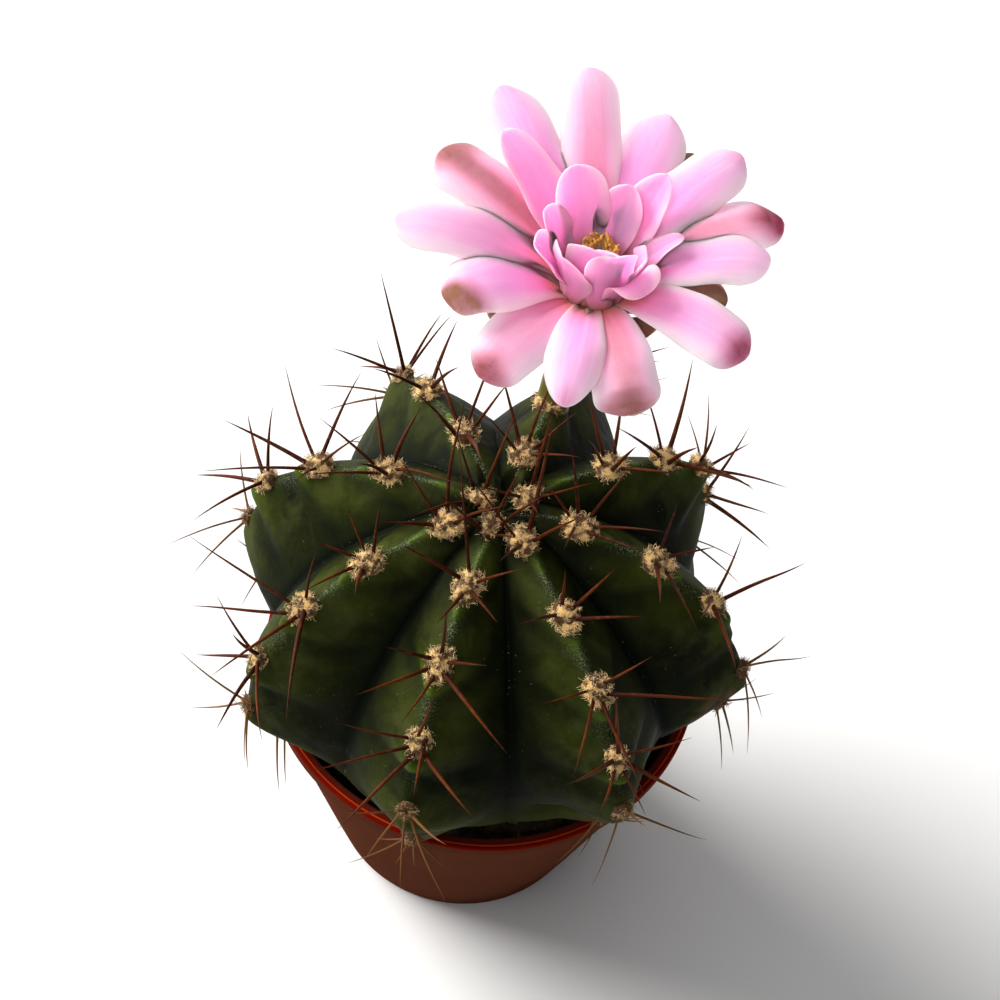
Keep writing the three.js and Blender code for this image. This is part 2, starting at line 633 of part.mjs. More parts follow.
function stamenSurfaces(index) {
  const angle = degToRad(index * GOLDEN_ANGLE);
  const share = Math.sqrt((index + 0.5) / STAMEN_COUNT);
  const radial = new THREE.Vector3(Math.cos(angle), Math.sin(angle), 0);
  const at = (radius, height) => radial.clone().multiplyScalar(radius).setZ(height);
  const top = ANTHER_HEIGHT + spread(index, 7, 0.7);
  const reach = lerp(1.5, ANTHER_SPREAD, share);
  const foot = at(COLLAR_RADIUS - 0.5, COLLAR_HEIGHT - 0.4);
  const way = new THREE.Vector3(0, 0, 1);
  const ring = (radius, height, size, sides) => ringAcross(at(radius, height), way, size, sides);
  const filament = skin(
    foot,
    [ring(COLLAR_RADIUS - 0.5, COLLAR_HEIGHT, FILAMENT_RADIUS, 3), ring(reach, top - 0.6, FILAMENT_RADIUS, 3)],
    at(reach, top),
  );
  const anther = skin(
    at(reach, top - 0.5),
    [ring(reach, top + 0.1, 0.55, 4)],
    at(reach, top + 0.9),
  );
  return [filament, anther];
}

function stamensGeometry() {
  const inner = STYLE_RADIUS + GAP;
  const low = COLLAR_HEIGHT - 2;
  const collar = lathe([
    [inner, low], [1.2, low], [COLLAR_RADIUS + 0.1, COLLAR_HEIGHT],
    [COLLAR_RADIUS - 0.3, COLLAR_HEIGHT + 0.5], [inner, COLLAR_HEIGHT], [inner, low],
  ], 12);
  const stamens = Array.from({ length: STAMEN_COUNT }, (_, index) => stamenSurfaces(index)).flat();
  return geometryOf(joined([collar, ...stamens]));
}

function styleGeometry() {
  const foot = -CUP_DEPTH + CUP_WALL + GAP;
  return lathe([
    [0, foot], [STYLE_RADIUS, foot], [STYLE_RADIUS, STYLE_TOP - 1.6],
    [STIGMA_RADIUS, STYLE_TOP - 0.7], [STIGMA_RADIUS * 0.8, STYLE_TOP], [0, STYLE_TOP - 0.3],
  ], 8);
}

// Spines that would reach the pot, the soil, the floor or the flower take another way, or are left off

const tubePoints = [0, 0.1, 0.2, 0.3, 0.4, 0.5, 0.6, 0.7, 0.8, 0.9, 1].map((share) => ({
  at: tube.getPoint(share),
  keep: tubeRadius(share) + 2.2,
}));

function isClear(stemPoint) {
  const place = stemPoint.clone().applyMatrix4(stem.matrix);
  const radius = Math.hypot(place.x, place.y);
  const byWall = place.z < POT_HEIGHT + 1.2 && radius > insideRadius(place.z) - 1 && radius < RIM_RADIUS + 1.2;
  const inPot = place.z < SOIL_TOP + 2 && radius <= insideRadius(place.z);
  if (byWall || inPot || place.z < 2) return false;
  const inHead = stemPoint.clone().applyMatrix4(stemToHead);
  if (inHead.z > -6 && Math.hypot(inHead.x, inHead.y) < 31) return false;
  return tubePoints.every(({ at, keep }) => at.distanceTo(inHead) > keep);
}

const angleBetween = (first, second) => Math.abs(((first - second + 540) % 360) - 180);

// Marked spines of an areole by the facet that each one leaves
function markedByFacet(index, number) {
  const marked = MARKED_SPINES[`${index} ${number}`] ?? [];
  const byFacet = new Map();
  marked.forEach(([around, lift, length]) => {
    const free = SPINE_AROUND.map((_, facet) => facet).filter((facet) => !byFacet.has(facet));
    const nearest = free.reduce((best, facet) => (
      angleBetween(around, SPINE_AROUND[facet]) < angleBetween(around, SPINE_AROUND[best]) ? facet : best));
    byFacet.set(nearest, { around, lift, length });
  });
  return byFacet;
}

// Path of the spine on one facet of an areole, or nothing where the areole has none there
function spineAt(frame, level, seed, facet, start, marked) {
  if (marked.has(facet)) {
    const { around, lift, length } = marked.get(facet);
    const path = spinePath(frame, start, around, lift, length);
    return path.every(isClear) ? path : null;
  }
  const crowded = [...marked.values()].some(({ around }) => (
    angleBetween(around, SPINE_AROUND[facet]) < SPINE.between));
  const draw = seed * 10 + facet;
  if (crowded || chance(draw, 91) > SPINE_CHANCE[facet]) return null;
  for (let attempt = 0; attempt < SPINE.tries; attempt += 1) {
    const young = smoothstep(level, 45, 80);
    const old = smoothstep(-level, -10, 25);
    const around = SPINE_AROUND[facet] + spread(draw, 3 * attempt, 14);
    const lift = lerp(34, 56, young) + spread(draw, 3 * attempt + 1, 13) + attempt * 2;
    const length = SPINE_LENGTH[facet] * lerp(1, 0.62, old) * (1 + spread(draw, 3 * attempt + 2, 0.28));
    const path = spinePath(frame, start, around, lift, length);
    if (path.every(isClear)) return path;
  }
  return null;
}

function stemGeometry() {
  const surfaces = [bodySurface()];
  RIBS.forEach((rib, index) => rib.areoles.forEach((level, number) => {
    const frame = areoleFrame(index, level);
    const seed = index * 10 + number;
    const flowering = index === FLOWER_RIB && number === FLOWER_AREOLE;
    const marked = markedByFacet(index, number);
    surfaces.push(areoleSurface(frame, seed, (facet, start) => (
      flowering ? null : spineAt(frame, level, seed, facet, start, marked))));
  }));
  const potSpace = solidOf(lathe(potOutline(RIM_CLEAR), POT_SIDES).applyMatrix4(potToStem));
  const tubeSpace = solidOf(tubeSurface(TUBE_SHARES.slice(0, 4), GAP).applyMatrix4(headToStem));
  return geometryOf(joined(surfaces).subtract(potSpace).subtract(tubeSpace));
}

// Soil: it fills the pot and has a plain hole for the root

function soilGeometry() {
  const fill = lathe([
    [0, FLOOR + GAP],
    [insideRadius(FLOOR) - 1, FLOOR + GAP],
    [insideRadius(SOIL_TOP) - GAP, SOIL_TOP - 0.6],
    [insideRadius(SOIL_TOP) - 2, SOIL_TOP],
    [0, SOIL_TOP + SOIL_CROWN],
  ], SOIL_SIDES);
  const widest = Math.max(...RIBS.map((rib) => rib.size));
  const holeLevels = [-85, -77, -67, -57, -48, -39, -31];
  const hole = lathe([
    [0, profile(-90)[1] - GAP],
    ...holeLevels.map((level) => [profile(level)[0] * widest + 0.6, profile(level)[1] - GAP]),
    [0, profile(-31)[1] - GAP],
  ], SOIL_SIDES).applyMatrix4(stem.matrix);
  return geometryOf(solidOf(fill).subtract(solidOf(hole)));
}

// Finishes

const finish = (color, roughness) => new THREE.MeshStandardMaterial({ color, roughness, metalness: 0 });

const finishes = {
  pot: finish('#5a2a1e', 0.42),
  soil: finish('#241a14', 0.95),
  stem: finish('#33421f', 0.6),
  tube: finish('#6a5a2a', 0.6),
  petals: finish('#ffa8d8', 0.55),
  stamens: finish('#d8a850', 0.7),
  style: finish('#c8b070', 0.65),
};

function piece(name, geometry, material) {
  const mesh = new THREE.Mesh(geometry, material);
  mesh.name = name;
  return mesh;
}

stem.add(piece('cactus_stem', stemGeometry(), finishes.stem));
head.add(
  piece('flower_tube', tubeGeometry(), finishes.tube),
  piece('flower_petals', petalsGeometry(), finishes.petals),
  piece('flower_stamens', stamensGeometry(), finishes.stamens),
  piece('flower_style', styleGeometry(), finishes.style),
);

const group = new THREE.Group();
group.add(
  piece('pot', potGeometry(), finishes.pot),
  piece('soil', soilGeometry(), finishes.soil),
  stem,
  head,
);

export default group;
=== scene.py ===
"""A potted round cactus in flower, finished in detail over its packed frame.

Run as a script in Blender 4.5. Shapes are worked out in millimetres in the frame of the whole plant, +Z up
and the front towards -Y, and become metres when a mesh is made.
"""

import math

import bpy
import numpy as np
from bpy.props import FloatProperty, FloatVectorProperty, IntProperty, PointerProperty
from mathutils import Matrix, Vector, noise


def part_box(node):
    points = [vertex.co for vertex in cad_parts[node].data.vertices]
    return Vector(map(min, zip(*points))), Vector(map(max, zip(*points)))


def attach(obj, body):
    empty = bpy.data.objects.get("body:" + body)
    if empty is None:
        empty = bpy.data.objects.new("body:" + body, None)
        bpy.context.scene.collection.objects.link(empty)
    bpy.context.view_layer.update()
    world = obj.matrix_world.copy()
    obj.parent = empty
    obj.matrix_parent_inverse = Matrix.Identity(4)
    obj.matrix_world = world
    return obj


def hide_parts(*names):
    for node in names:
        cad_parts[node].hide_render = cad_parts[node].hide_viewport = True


bl_info = {
    "name": "Potted Round Cactus",
    "version": (1, 0, 0),
    "blender": (4, 5, 0),
    "location": "View3D > Sidebar > Cactus",
    "description": "Makes the fine surfaces of a potted cactus in flower around its frame",
    "category": "Add Mesh",
}

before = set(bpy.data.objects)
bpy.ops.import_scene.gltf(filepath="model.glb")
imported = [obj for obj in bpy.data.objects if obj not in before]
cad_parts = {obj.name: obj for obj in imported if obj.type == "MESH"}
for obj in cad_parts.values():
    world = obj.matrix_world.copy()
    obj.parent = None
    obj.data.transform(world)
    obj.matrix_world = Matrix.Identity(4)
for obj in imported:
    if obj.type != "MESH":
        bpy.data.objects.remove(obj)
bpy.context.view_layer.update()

MM = 0.001
BODY = "root"

# Pot: the same wall as the frame's
POT_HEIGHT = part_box("pot")[1].z / MM
RIM_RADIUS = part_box("pot")[1].x / MM
BASE_RADIUS = 24.6
WALL = 1.3
FLOOR = 2.2
LIP_HEIGHT = 3.4
LIP_PROUD = 1.1
LEDGE = 3.5
DRAIN_COUNT = 6
DRAIN_RADIUS = 3.2
DRAIN_CIRCLE = 17
FOOT_RECESS = 0.9
FOOT_RING = (6.4, 0.7)
FOOT_MIDDLE = 8
FLOOR_ROUND = (0.6, 1.6)
LIP_BLEND = 1.8
WALL_LOW = 12
WALL_HIGH = 30
SOIL_TOP = 47.5
SOIL_CROWN = 0.8
SOIL_GAP = 0.35
SOIL_SIDES = 96
SOIL_RINGS = 26

# Stem: eight ribs on a flattened round body. Levels are degrees round its outline: 90 at the crown, 0 at the
# widest, -90 at the root's end. A rib narrows below the level given by ends, fill makes the valley after it
# shallower low down, and tuck is the share of the radius that it draws in, with the levels where that starts
# and is full.
STEM_PLACE = Vector((1.4, 0.1, 68.2))
STEM_LEAN = 4
BODY_RADIUS = 43.3
CROWN_RISE = 32.7
CROWN_POWER = 2.25
UNDER_DROP = 21
UNDER_POWER = 2.4
NECK_LEVEL = -57
ROOT_DROP = 13
CROWN_SINK = 3
CROWN_WIDTH = 10
FLANK_SWELL = 1.2
RIB_ENDS = 6
KNOB = 1.1
SKIN_LEVELS = (-84, 89)
# The corky patch low on the right: the rib before it, the share of the way to the next, and its level
CORK_PLACE = (1, 0.86, -14)
CORK_RADIUS = 9
RIBS = [
    {"azimuth": 257.5, "size": 0.95, "areoles": [85, 71, 52, 31, 6, -21], "fill": 0.085},
    {"azimuth": 304.1, "size": 1.01, "areoles": [82, 64, 46, 27, 7, -18], "ends": -12,
     "tuck": (0.12, 14, -16)},
    {"azimuth": 350.3, "size": 0.95, "areoles": [75, 55, 35, 4, -22]},
    {"azimuth": 33.3, "size": 1.0, "areoles": [85, 67, 50, 35, 17, -3, -27], "tuck": (0.17, 38, 0)},
    {"azimuth": 76.9, "size": 1.01, "areoles": [79, 60, 41, 22, 2, -24]},
    {"azimuth": 121.9, "size": 1.02, "areoles": [73, 53, 29, 8, -18]},
    {"azimuth": 166.6, "size": 1.04, "areoles": [86, 68, 49, 27, 4, -21]},
    {"azimuth": 211.8, "size": 1.01, "areoles": [80, 62, 43, 21, 0, -29], "fill": 0.07},
]

# Wool tufts and spines
TUFT = {"length": 2.8, "width": 2.4, "height": 1.7, "sides": 6}
SPINE = {"curl": 0.12, "tries": 14, "between": 36}
# How far spines keep from things, and the lowest height and the radius that the open flower keeps to itself
SPINE_KEEP = {"rim": 1.2, "wall": 1, "soil": 2, "floor": 2, "tube": 2.2}
FLOWER_ROOM = {"low": -6, "radius": 31}
# The spine of each facet of a tuft: degrees round from straight up, length, and how often it grows
SPINE_AROUND = [180, 126, 74, 5, 288, 232]
SPINE_LENGTH = [11, 14.5, 13.5, 11.5, 13.5, 14.5]
SPINE_CHANCE = [0.35, 0.95, 0.9, 0.7, 0.9, 0.95]
# Spines of the areoles in front, by rib and areole: degrees round from straight up, lift and length. Most
# were worked out in the fitted camera from tips read in the photo, with the lift nearest to a typical
# one, and many of those were then changed. The rest are given one by one.
MARKED_SPINES = {
    (0, 0): [[20, 56, 12], [255, 60, 13], [130, 58, 11]],
    (0, 1): [[80, 56, 14], [265, 54, 14.5], [338, 42, 22], [180, 55, 14]],
    (0, 2): [[268, 46, 9], [190, 45, 11], [75, 50, 11], [0, 48, 10.5]],
    (0, 3): [[250, 38, 17], [212, 38, 17], [107, 38, 15], [170, 40, 9]],
    (0, 4): [[45, 38, 15], [170, 36, 13], [205, 34, 10.5], [300, 40, 12]],
    (1, 0): [[40, 50, 20], [325, 56, 15], [125, 60, 13]],
    (1, 1): [[74, 52, 11.5], [267, 53, 14], [20, 56, 8]],
    (1, 2): [[230, 38, 15], [113, 34, 21.5], [186, 36, 16.5], [75, 41, 9.5]],
    (1, 3): [[134, 38, 13], [247, 46, 9], [175, 38, 8]],
    (2, 0): [[47, 57, 13], [118, 57, 12.5], [195, 49, 16], [275, 45, 13]],
    (2, 1): [[75, 42, 9.5], [150, 43, 8], [275, 41, 15]],
    (2, 2): [[123, 38, 17], [265, 36, 15.5], [305, 30, 13], [60, 40, 11]],
    (3, 1): [[303, 65, 17], [345, 56, 15], [110, 56, 12]],
    (3, 2): [[119, 40, 18], [315, 54, 16], [60, 44, 12]],
    (3, 3): [[159, 35, 13], [297, 30, 15], [345, 40, 15], [100, 38, 13]],
    (5, 0): [[10, 35, 18], [60, 66, 16], [300, 60, 15]],
    (5, 1): [[56, 46, 15.5], [350, 39, 15], [240, 44, 12]],
    (5, 2): [[5, 56, 23], [158, 22, 13], [70, 40, 14], [250, 40, 14]],
    (6, 1): [[252, 52, 12], [76, 62, 16], [20, 30, 19], [330, 60, 14]],
    (6, 2): [[242, 40, 18], [149, 38, 18], [190, 41, 17], [60, 40, 11]],
    (6, 3): [[247, 35, 14], [185, 37, 15], [94, 34, 15], [310, 38, 12]],
    (6, 4): [[208, 33, 14], [120, 30, 13], [290, 36, 12]],
    (7, 0): [[249, 57, 13.5], [310, 50, 20], [43, 52, 16]],
    (7, 1): [[284, 49, 9], [331, 52, 11], [220, 50, 8], [100, 50, 12]],
    (7, 2): [[250, 39, 21], [215, 38, 17], [165, 37, 17], [111, 27, 20]],
    (7, 3): [[222, 33, 11], [15, 45, 15], [150, 36, 12]],
}

# Fineness of the wool's felt
WOOL_SIDES = 26
WOOL_RINGS = 13
# Each tuft's two lobes: how far up the crest, and their width and height as shares
WOOL_LOBES = ((0.75, 1.0, 1.0), (-1.15, 0.8, 0.8))
# The cores' width and length as shares of a tuft's, and their size on the oldest and the flowering areole
WOOL_CORE = (0.88, 0.7)
WOOL_OLDEST = 0.68
WOOL_FLOWERING = 1.15
# The ribs whose hairs are one piece
WOOL_GROUPS = [(0, 1, 2), (3, 4), (5, 6, 7)]

# Flower: its head's frame has the mouth of the tube at its origin and the axis along +Z
FLOWER_AREOLE = (4, 1)
HEAD_PLACE = Vector((7.5, 24.2, 125.8))
HEAD_TILT = 8
TUBE_FOOT = 2.7
TUBE_WAIST = 2.9
TUBE_MOUTH = 6.6
TUBE_SINK = 1.2
HANDLE = {"foot": 9, "mouth": 13}
CUP_MOUTH = 5.3
CUP_WALL = 1.0
CUP_DEPTH = 8.5
CUP_TOP = 1.9
CUP_LEDGE = -0.6
CUP_FOOT = 1.9
# Points of the cup's curve between mouth and foot: up its outside from the foot, and down its inside
CUP_OUTSIDE = ((3.2, -6.2), (4.6, -3.0))
CUP_INSIDE = ((3.5, -3.2), (2.2, -5.8))
THROAT_SIDES = 64
THROAT_FLUTES = 12
TUBE_SIDES = 48
TUBE_ROWS = 60
SCALE_COUNT = 13
SCALE = {"lowest": 0.24, "highest": 0.84, "length": (2.8, 5.2), "width": (1.875, 3.25), "thickness": 1.5}
GOLDEN_ANGLE = 137.5
BLADE_STEPS = {"body": 26, "tip": 15, "across": 19}
PETAL_PULL = 0.38
PETAL_FULL = 0.54
PETAL_TIP = 0.74
TAPER_TIP = 0.5
PETAL_WAIST = 0.46
OUTER_ROOT = (4.7, 1.4)
INNER_ROOT = (5.0, 0.6)
SEPAL_ROOT = (5.7, -2.4)
# A row for each petal or sepal: its BLADE_SIZES, where arrive is its slope at the tip, then a dict of marks
# that only some have. Root is the radius where it starts and leave its slope there. Stain is how far its tip
# is browned, lean how much further on one side, stripe how far its middle is, olive how green that brown is,
# warm how salmon its pink is, fold how far its tip turns down, and taper how slender its outer half is.
BLADE_SIZES = ("azimuth", "reach", "rise", "width", "arrive")
OUTER_PETALS = [
    (101, 30.2, 14.4, 9.2, 8, {"stripe": 0.35, "warm": 0.6, "taper": -0.3}),
    (75, 28.6, 8.6, 10.2, -8, {}),
    (48.5, 29.0, 9.6, 9.6, -14, {"stain": 0.25}),
    (26.5, 30.2, 6.6, 9.0, -24, {"stain": 1.0, "stripe": 0.5, "warm": 0.8}),
    (10, 25.6, 9.0, 8.6, -16, {"stain": 0.12}),
    (331, 26.8, 8.6, 9.6, -34, {"stain": 0.75, "warm": 0.3}),
    (288, 26.0, 6.2, 9.8, -46, {
        "stain": 1.0, "stripe": 0.65, "taper": -0.2, "olive": 0.9, "warm": 0.7, "fold": 1.0}),
    (265.5, 26.0, 9.0, 8.4, -36, {"stain": 0.35, "taper": 0.55}),
    (236.5, 26.2, 5.6, 10.0, -40, {"stain": 0.9, "stripe": 0.2, "olive": 0.25, "warm": 0.6, "fold": 0.5}),
    (208.5, 25.0, 11.0, 10.0, -30, {"stain": 0.9, "olive": 1.0, "lean": -0.22, "fold": 0.3}),
    (183, 30.4, 12.8, 9.4, -14, {"stain": 0.1, "warm": 0.35}),
    (157, 28.0, 13.4, 9.6, -4, {
        "stain": 0.7, "stripe": 1.0, "olive": 0.8, "lean": 0.1, "warm": 0.8, "taper": -0.4}),
    (126.5, 31.2, 12.6, 9.4, 2, {"stain": 0.1}),
]
INNER_PETALS = [
    (138, 22.6, 15.0, 7.6, 16, {"root": 5.0, "leave": 62, "taper": 0.8}),
    (117, 12.1, 15.4, 8.4, 48, {"root": 5.0, "leave": 80, "taper": 0.2}),
    (74, 11.0, 12.8, 6.8, 54, {"root": 4.4, "leave": 82, "taper": 0.3}),
    (56, 14.6, 14.6, 7.0, 44, {"root": 5.0, "leave": 76, "taper": 0.7}),
    (20, 12.6, 11.0, 4.2, 32, {"root": 4.6, "leave": 66, "taper": 0.8}),
    (350, 6.8, 11.8, 7.0, 74, {"root": 4.4, "leave": 86}),
    (316, 10.4, 11.8, 7.4, -28, {"root": 5.0, "leave": 86}),
    (291, 6.0, 18.2, 7.9, 88, {"root": 5.2, "leave": 86}),
    (258, 4.9, 18.0, 8.4, 90, {"root": 4.3, "leave": 86}),
    (226, 7.6, 15.8, 8.1, 74, {"root": 5.2, "leave": 84}),
    (194, 9.8, 13.2, 7.2, 56, {"root": 4.4, "leave": 80}),
    (160, 9.4, 14.0, 6.0, 60, {"root": 5.0, "leave": 82}),
]
SEPALS = [
    (62, 27.0, 4.8, 6.6, -6, {}),
    (352, 20.0, 6.6, 6.4, -12, {}),
    (312, 12.6, 3.2, 8.4, -10, {}),
    (263, 16.5, 1.8, 5.6, -10, {}),
    (213, 17.5, 3.0, 6.2, -10, {}),
    (169, 23.0, 6.0, 6.6, -4, {}),
    (114, 23.5, 6.0, 6.4, -4, {}),
]

# Stamens and style
COLLAR_RADIUS = 2.1
COLLAR_HEIGHT = -3.6
ANTHER_HEIGHT = 10.8
ANTHER_SPREAD = 3.4
STYLE_RADIUS = 0.55
STYLE_TOP = 8.6
LOBE_REACH = 1.0
LOBE_RISE = 1.35
FILAMENT_RADIUS = 0.13
ANTHER_SIZE = (0.34, 0.26, 0.36)

# Camera: where the photo was taken from, and its focal length in pixels of a picture 1000 wide
PICTURE_WIDTH = 1000
CAMERA_PLACE = Vector((-1.2, -173.2, 360.0))
CAMERA_DOWN = 56.19
CAMERA_ROLL = 9.06
FOCAL_PIXELS = 2022
SENSOR = 36
KEY_WAY = Vector((-0.81, 0.33, 0.48)).normalized()
KEY_WIDTH = 40
FILL_PLACE = Vector((-0.05, -0.19, 0.38))
FILL_CONE = 19
FILL_BLEND = 0.7
FILL_SOFTNESS = 0.06
FLOOR_HALF = 20000


def linear(hex_code):
    """Linear RGBA of an sRGB hex colour."""
    parts = [int(hex_code[at:at + 2], 16) / 255 for at in (1, 3, 5)]
    return (*(v / 12.92 if v <= 0.04045 else ((v + 0.055) / 1.055) ** 2.4 for v in parts), 1.0)


def colour(name, description, hex_code):
    """A colour that a user can change."""
    return FloatVectorProperty(
        name=name, description=description, subtype="COLOR", size=4, min=0, max=1, default=linear(hex_code))


def length(name, description, millimetres):
    """A length that a user can change, kept in metres."""
    return FloatProperty(
        name=name, description=description, unit="LENGTH", min=0, precision=5, default=millimetres * MM)


class PotSettings(bpy.types.PropertyGroup):
    """Finish and fineness of the pot."""
    sides: IntProperty(name="Sides", description="Steps round the pot's wall", min=24, default=144)
    edge: length("Edge Round", "Rounding of the lip's edges", 0.55)
    wall_colour: colour("Wall", "Plastic of the pot's wall", "#563022")
    rim_colour: colour("Rim", "Plastic at the thin rim, where light shines through", "#6e1206")


class SoilSettings(bpy.types.PropertyGroup):
    """Size, number and colours of the soil's crumbs."""
    crumb: length("Crumb", "Size of a typical crumb", 1.1)
    crumbs: IntProperty(name="Crumbs", description="Crumbs on a square centimetre", min=1, default=46)
    dark_colour: colour("Peat", "Damp peat", "#1c130d")
    light_colour: colour("Grit", "Dry crumbs and grit", "#5a4632")


class StemSettings(bpy.types.PropertyGroup):
    """Fineness and colours of the stem's skin."""
    rows: IntProperty(name="Rows", description="Steps from the root to the crown", min=40, default=190)
    columns: IntProperty(name="Columns", description="Steps from one crest to the next", min=8, default=36)
    crest_round: FloatProperty(
        name="Crest Round", description="Degrees over which a rib's edge is rounded", min=0, default=1.7)
    dark_colour: colour("Dark Green", "Skin in the flanks' darker patches", "#101506")
    green_colour: colour("Green", "Skin of the flanks", "#30360d")
    pale_colour: colour("Pale Green", "Waxy bloom on the flanks", "#494d28")
    young_colour: colour("Yellow Green", "Young skin under an areole", "#56701c")
    cork_colour: colour("Cork", "Corky skin low on the stem", "#5e4638")
    frost_colour: colour("Frost", "Fine pale down on the crests", "#666e58")


class WoolSettings(bpy.types.PropertyGroup):
    """Hairs and colours of the woolly areoles."""
    hairs: FloatProperty(name="Hairs", description="Hairs on a square millimetre", min=0, default=8.5)
    hair_length: length("Hair Length", "Length of a typical hair's curl", 0.8)
    hair_radius: length("Hair Radius", "Half the thickness of a hair, drawn coarse enough to show", 0.06)
    wool_colour: colour("Wool", "Fresh wool", "#ffd68c")
    shade_colour: colour("Old Wool", "Wool in the tufts' depths and on old areoles", "#4c2c0c")


class SpineSettings(bpy.types.PropertyGroup):
    """Thickness and colours of the spines."""
    radius: length("Radius", "Half the thickness of a spine near its foot", 0.39)
    sides: IntProperty(name="Sides", description="Sides of a spine", min=3, default=9)
    steps: IntProperty(name="Steps", description="Steps along a spine", min=3, default=14)
    foot_colour: colour("Foot", "Spine next to the wool", "#2e0c05")
    middle_colour: colour("Middle", "Spine half way up", "#5c2a0c")
    tip_colour: colour("Tip", "Spine at its point", "#1e0f0d")


class FlowerSettings(bpy.types.PropertyGroup):
    """Sizes and colours of the flower."""
    petal_thickness: length("Petal Thickness", "Thickness of a petal in its middle", 0.62)
    edge_wave: length("Edge Wave", "How far a petal's edge waves", 0.3)
    filaments: IntProperty(name="Filaments", description="Number of stamens", min=6, default=70)
    lobes: IntProperty(name="Lobes", description="Lobes of the stigma", min=3, default=8)
    middle_colour: colour("Petal Middle", "Deep pink along a petal's middle", "#fa96cc")
    warm_colour: colour("Warm Middle", "Salmon pink along some outer petals' middles", "#f897a8")
    edge_colour: colour("Petal Edge", "Pale pink at a petal's edge", "#efb8cc")
    base_colour: colour("Petal Base", "Salmon pink towards the throat", "#f587aa")
    stain_colour: colour("Stain", "Maroon brown at the outer petals' tips", "#6e3034")
    olive_colour: colour("Olive", "Olive brown on the petals' undersides and the sepals", "#8a6c54")
    tube_colour: colour("Tube", "Flesh of the flower tube", "#4a4c18")
    scale_colour: colour("Scale Edge", "Thin pale edge of a scale", "#cfb98a")
    pollen_colour: colour("Pollen", "Anthers", "#bc8632")
    stigma_colour: colour("Stigma", "Stigma and filaments", "#e4dca0")


class StageSettings(bpy.types.PropertyGroup):
    """Floor and lights."""
    floor_colour: colour("Floor", "Plain pale floor", "#f4f4f4")
    key_strength: FloatProperty(
        name="Key Strength", description="Strength of the main light", min=0, default=5.9)
    fill_power: FloatProperty(
        name="Fill Power", description="Power of the light on the flower", unit="POWER", default=4.1)
    sky_bright: FloatProperty(
        name="Bright Sky", description="Strength of the sky on the main light's side", min=0, default=0.75)
    sky_dim: FloatProperty(
        name="Dim Sky", description="Strength of the sky opposite the main light", min=0, default=0.09)


# Numbers and nodes

def per(millimetres):
    """Scale of a texture whose features have this size."""
    return 1 / (millimetres * MM)


def mix(low, high, share):
    return low + (high - low) * share


def smooth(value, low, high):
    """Smooth step from 0 at low to 1 at high."""
    share = np.clip((value - low) / (high - low), 0, 1)
    return share * share * (3 - 2 * share)


def power(value, exponent):
    return np.maximum(value, 0) ** exponent


def bump(value, middle, width):
    """Bell curve that is 1 at its middle."""
    return np.exp(-(((value - middle) / width) ** 2))


def chance(first, second):
    """A repeatable number from 0 to 1 for each pair of whole numbers."""
    value = math.sin(first * 127.1 + second * 311.7) * 43758.5453
    return value - math.floor(value)


def spread(first, second, reach):
    return (chance(first, second) * 2 - 1) * reach


def add(tree, kind, inputs=None, **settings):
    """Add a node with its settings. Each input, by name or number, is set to a value or linked to a socket,
    and a node given as an input stands for its first output in use."""
    node = tree.nodes.new(kind)
    for name, value in settings.items():
        setattr(node, name, value)
    for name, value in (inputs or {}).items():
        if isinstance(value, bpy.types.Node):
            value = next(output for output in value.outputs if output.enabled)
        if isinstance(value, bpy.types.NodeSocket):
            tree.links.new(value, node.inputs[name])
        else:
            node.inputs[name].default_value = value
    return node


# Meshes

def mesh_object(name, points, faces, edges=(), values=None):
    """Object with a mesh from points in millimetres; values are named numbers, one for each point."""
    mesh = bpy.data.meshes.new(name)
    mesh.from_pydata((np.asarray(points) * MM).tolist(), list(edges), faces)
    for key, numbers in (values or {}).items():
        attribute = mesh.attributes.new(key, "FLOAT", "POINT")
        attribute.data.foreach_set("value", np.asarray(numbers, np.float32).ravel())
    mesh.polygons.foreach_set("use_smooth", [True] * len(mesh.polygons))
    mesh.update()
    made = bpy.data.objects.new(name, mesh)
    bpy.context.scene.collection.objects.link(made)
    return made


def joined(parts):
    """Points, faces and values of several parts as those of one."""
    points, faces, values = [], [], {key: [] for key in parts[0][2]}
    for some, its_faces, numbers in parts:
        first = len(points)
        faces.extend([first + at for at in face] for face in its_faces)
        points.extend(some)
        for key, field in numbers.items():
            values[key].extend(field)
    return points, faces, values


def strands_object(name, matrix, strands):
    """Open lines in a local frame for a tree of strands; a strand is its points and its values along them."""
    points, edges, values = [], [], {key: [] for key in strands[0][1]}
    for path, numbers in strands:
        first = len(points)
        points.extend(path)
        edges.extend((at, at + 1) for at in range(first, len(points) - 1))
        for key, field in numbers.items():
            values[key].extend(field)
    return mesh_object(name, placed(points, matrix), [], edges, values)


def round_angles(sides):
    return np.linspace(0, math.tau, sides, endpoint=False)


def ring_points(radius, height, sides):
    """A level ring of points round the Z axis."""
    return [(radius * math.cos(a), radius * math.sin(a), height) for a in round_angles(sides)]


def ring_faces(rings, sides):
    """Quads between rings of points; seen from the last ring, each ring runs anticlockwise."""
    ring, side = np.meshgrid(np.arange(rings - 1), np.arange(sides), indexing="ij")
    after = (side + 1) % sides
    low, high = ring * sides, (ring + 1) * sides
    return np.stack([low + side, low + after, high + after, high + side], -1).reshape(-1, 4).tolist()


def closed_faces(rings, sides):
    """Faces of a skin over rings, with one more point for each end: the first ring's, then the last's."""
    start, end, last = rings * sides, rings * sides + 1, (rings - 1) * sides
    faces = ring_faces(rings, sides)
    for side in range(sides):
        after = (side + 1) % sides
        faces.append([start, after, side])
        faces.append([end, last + side, last + after])
    return faces


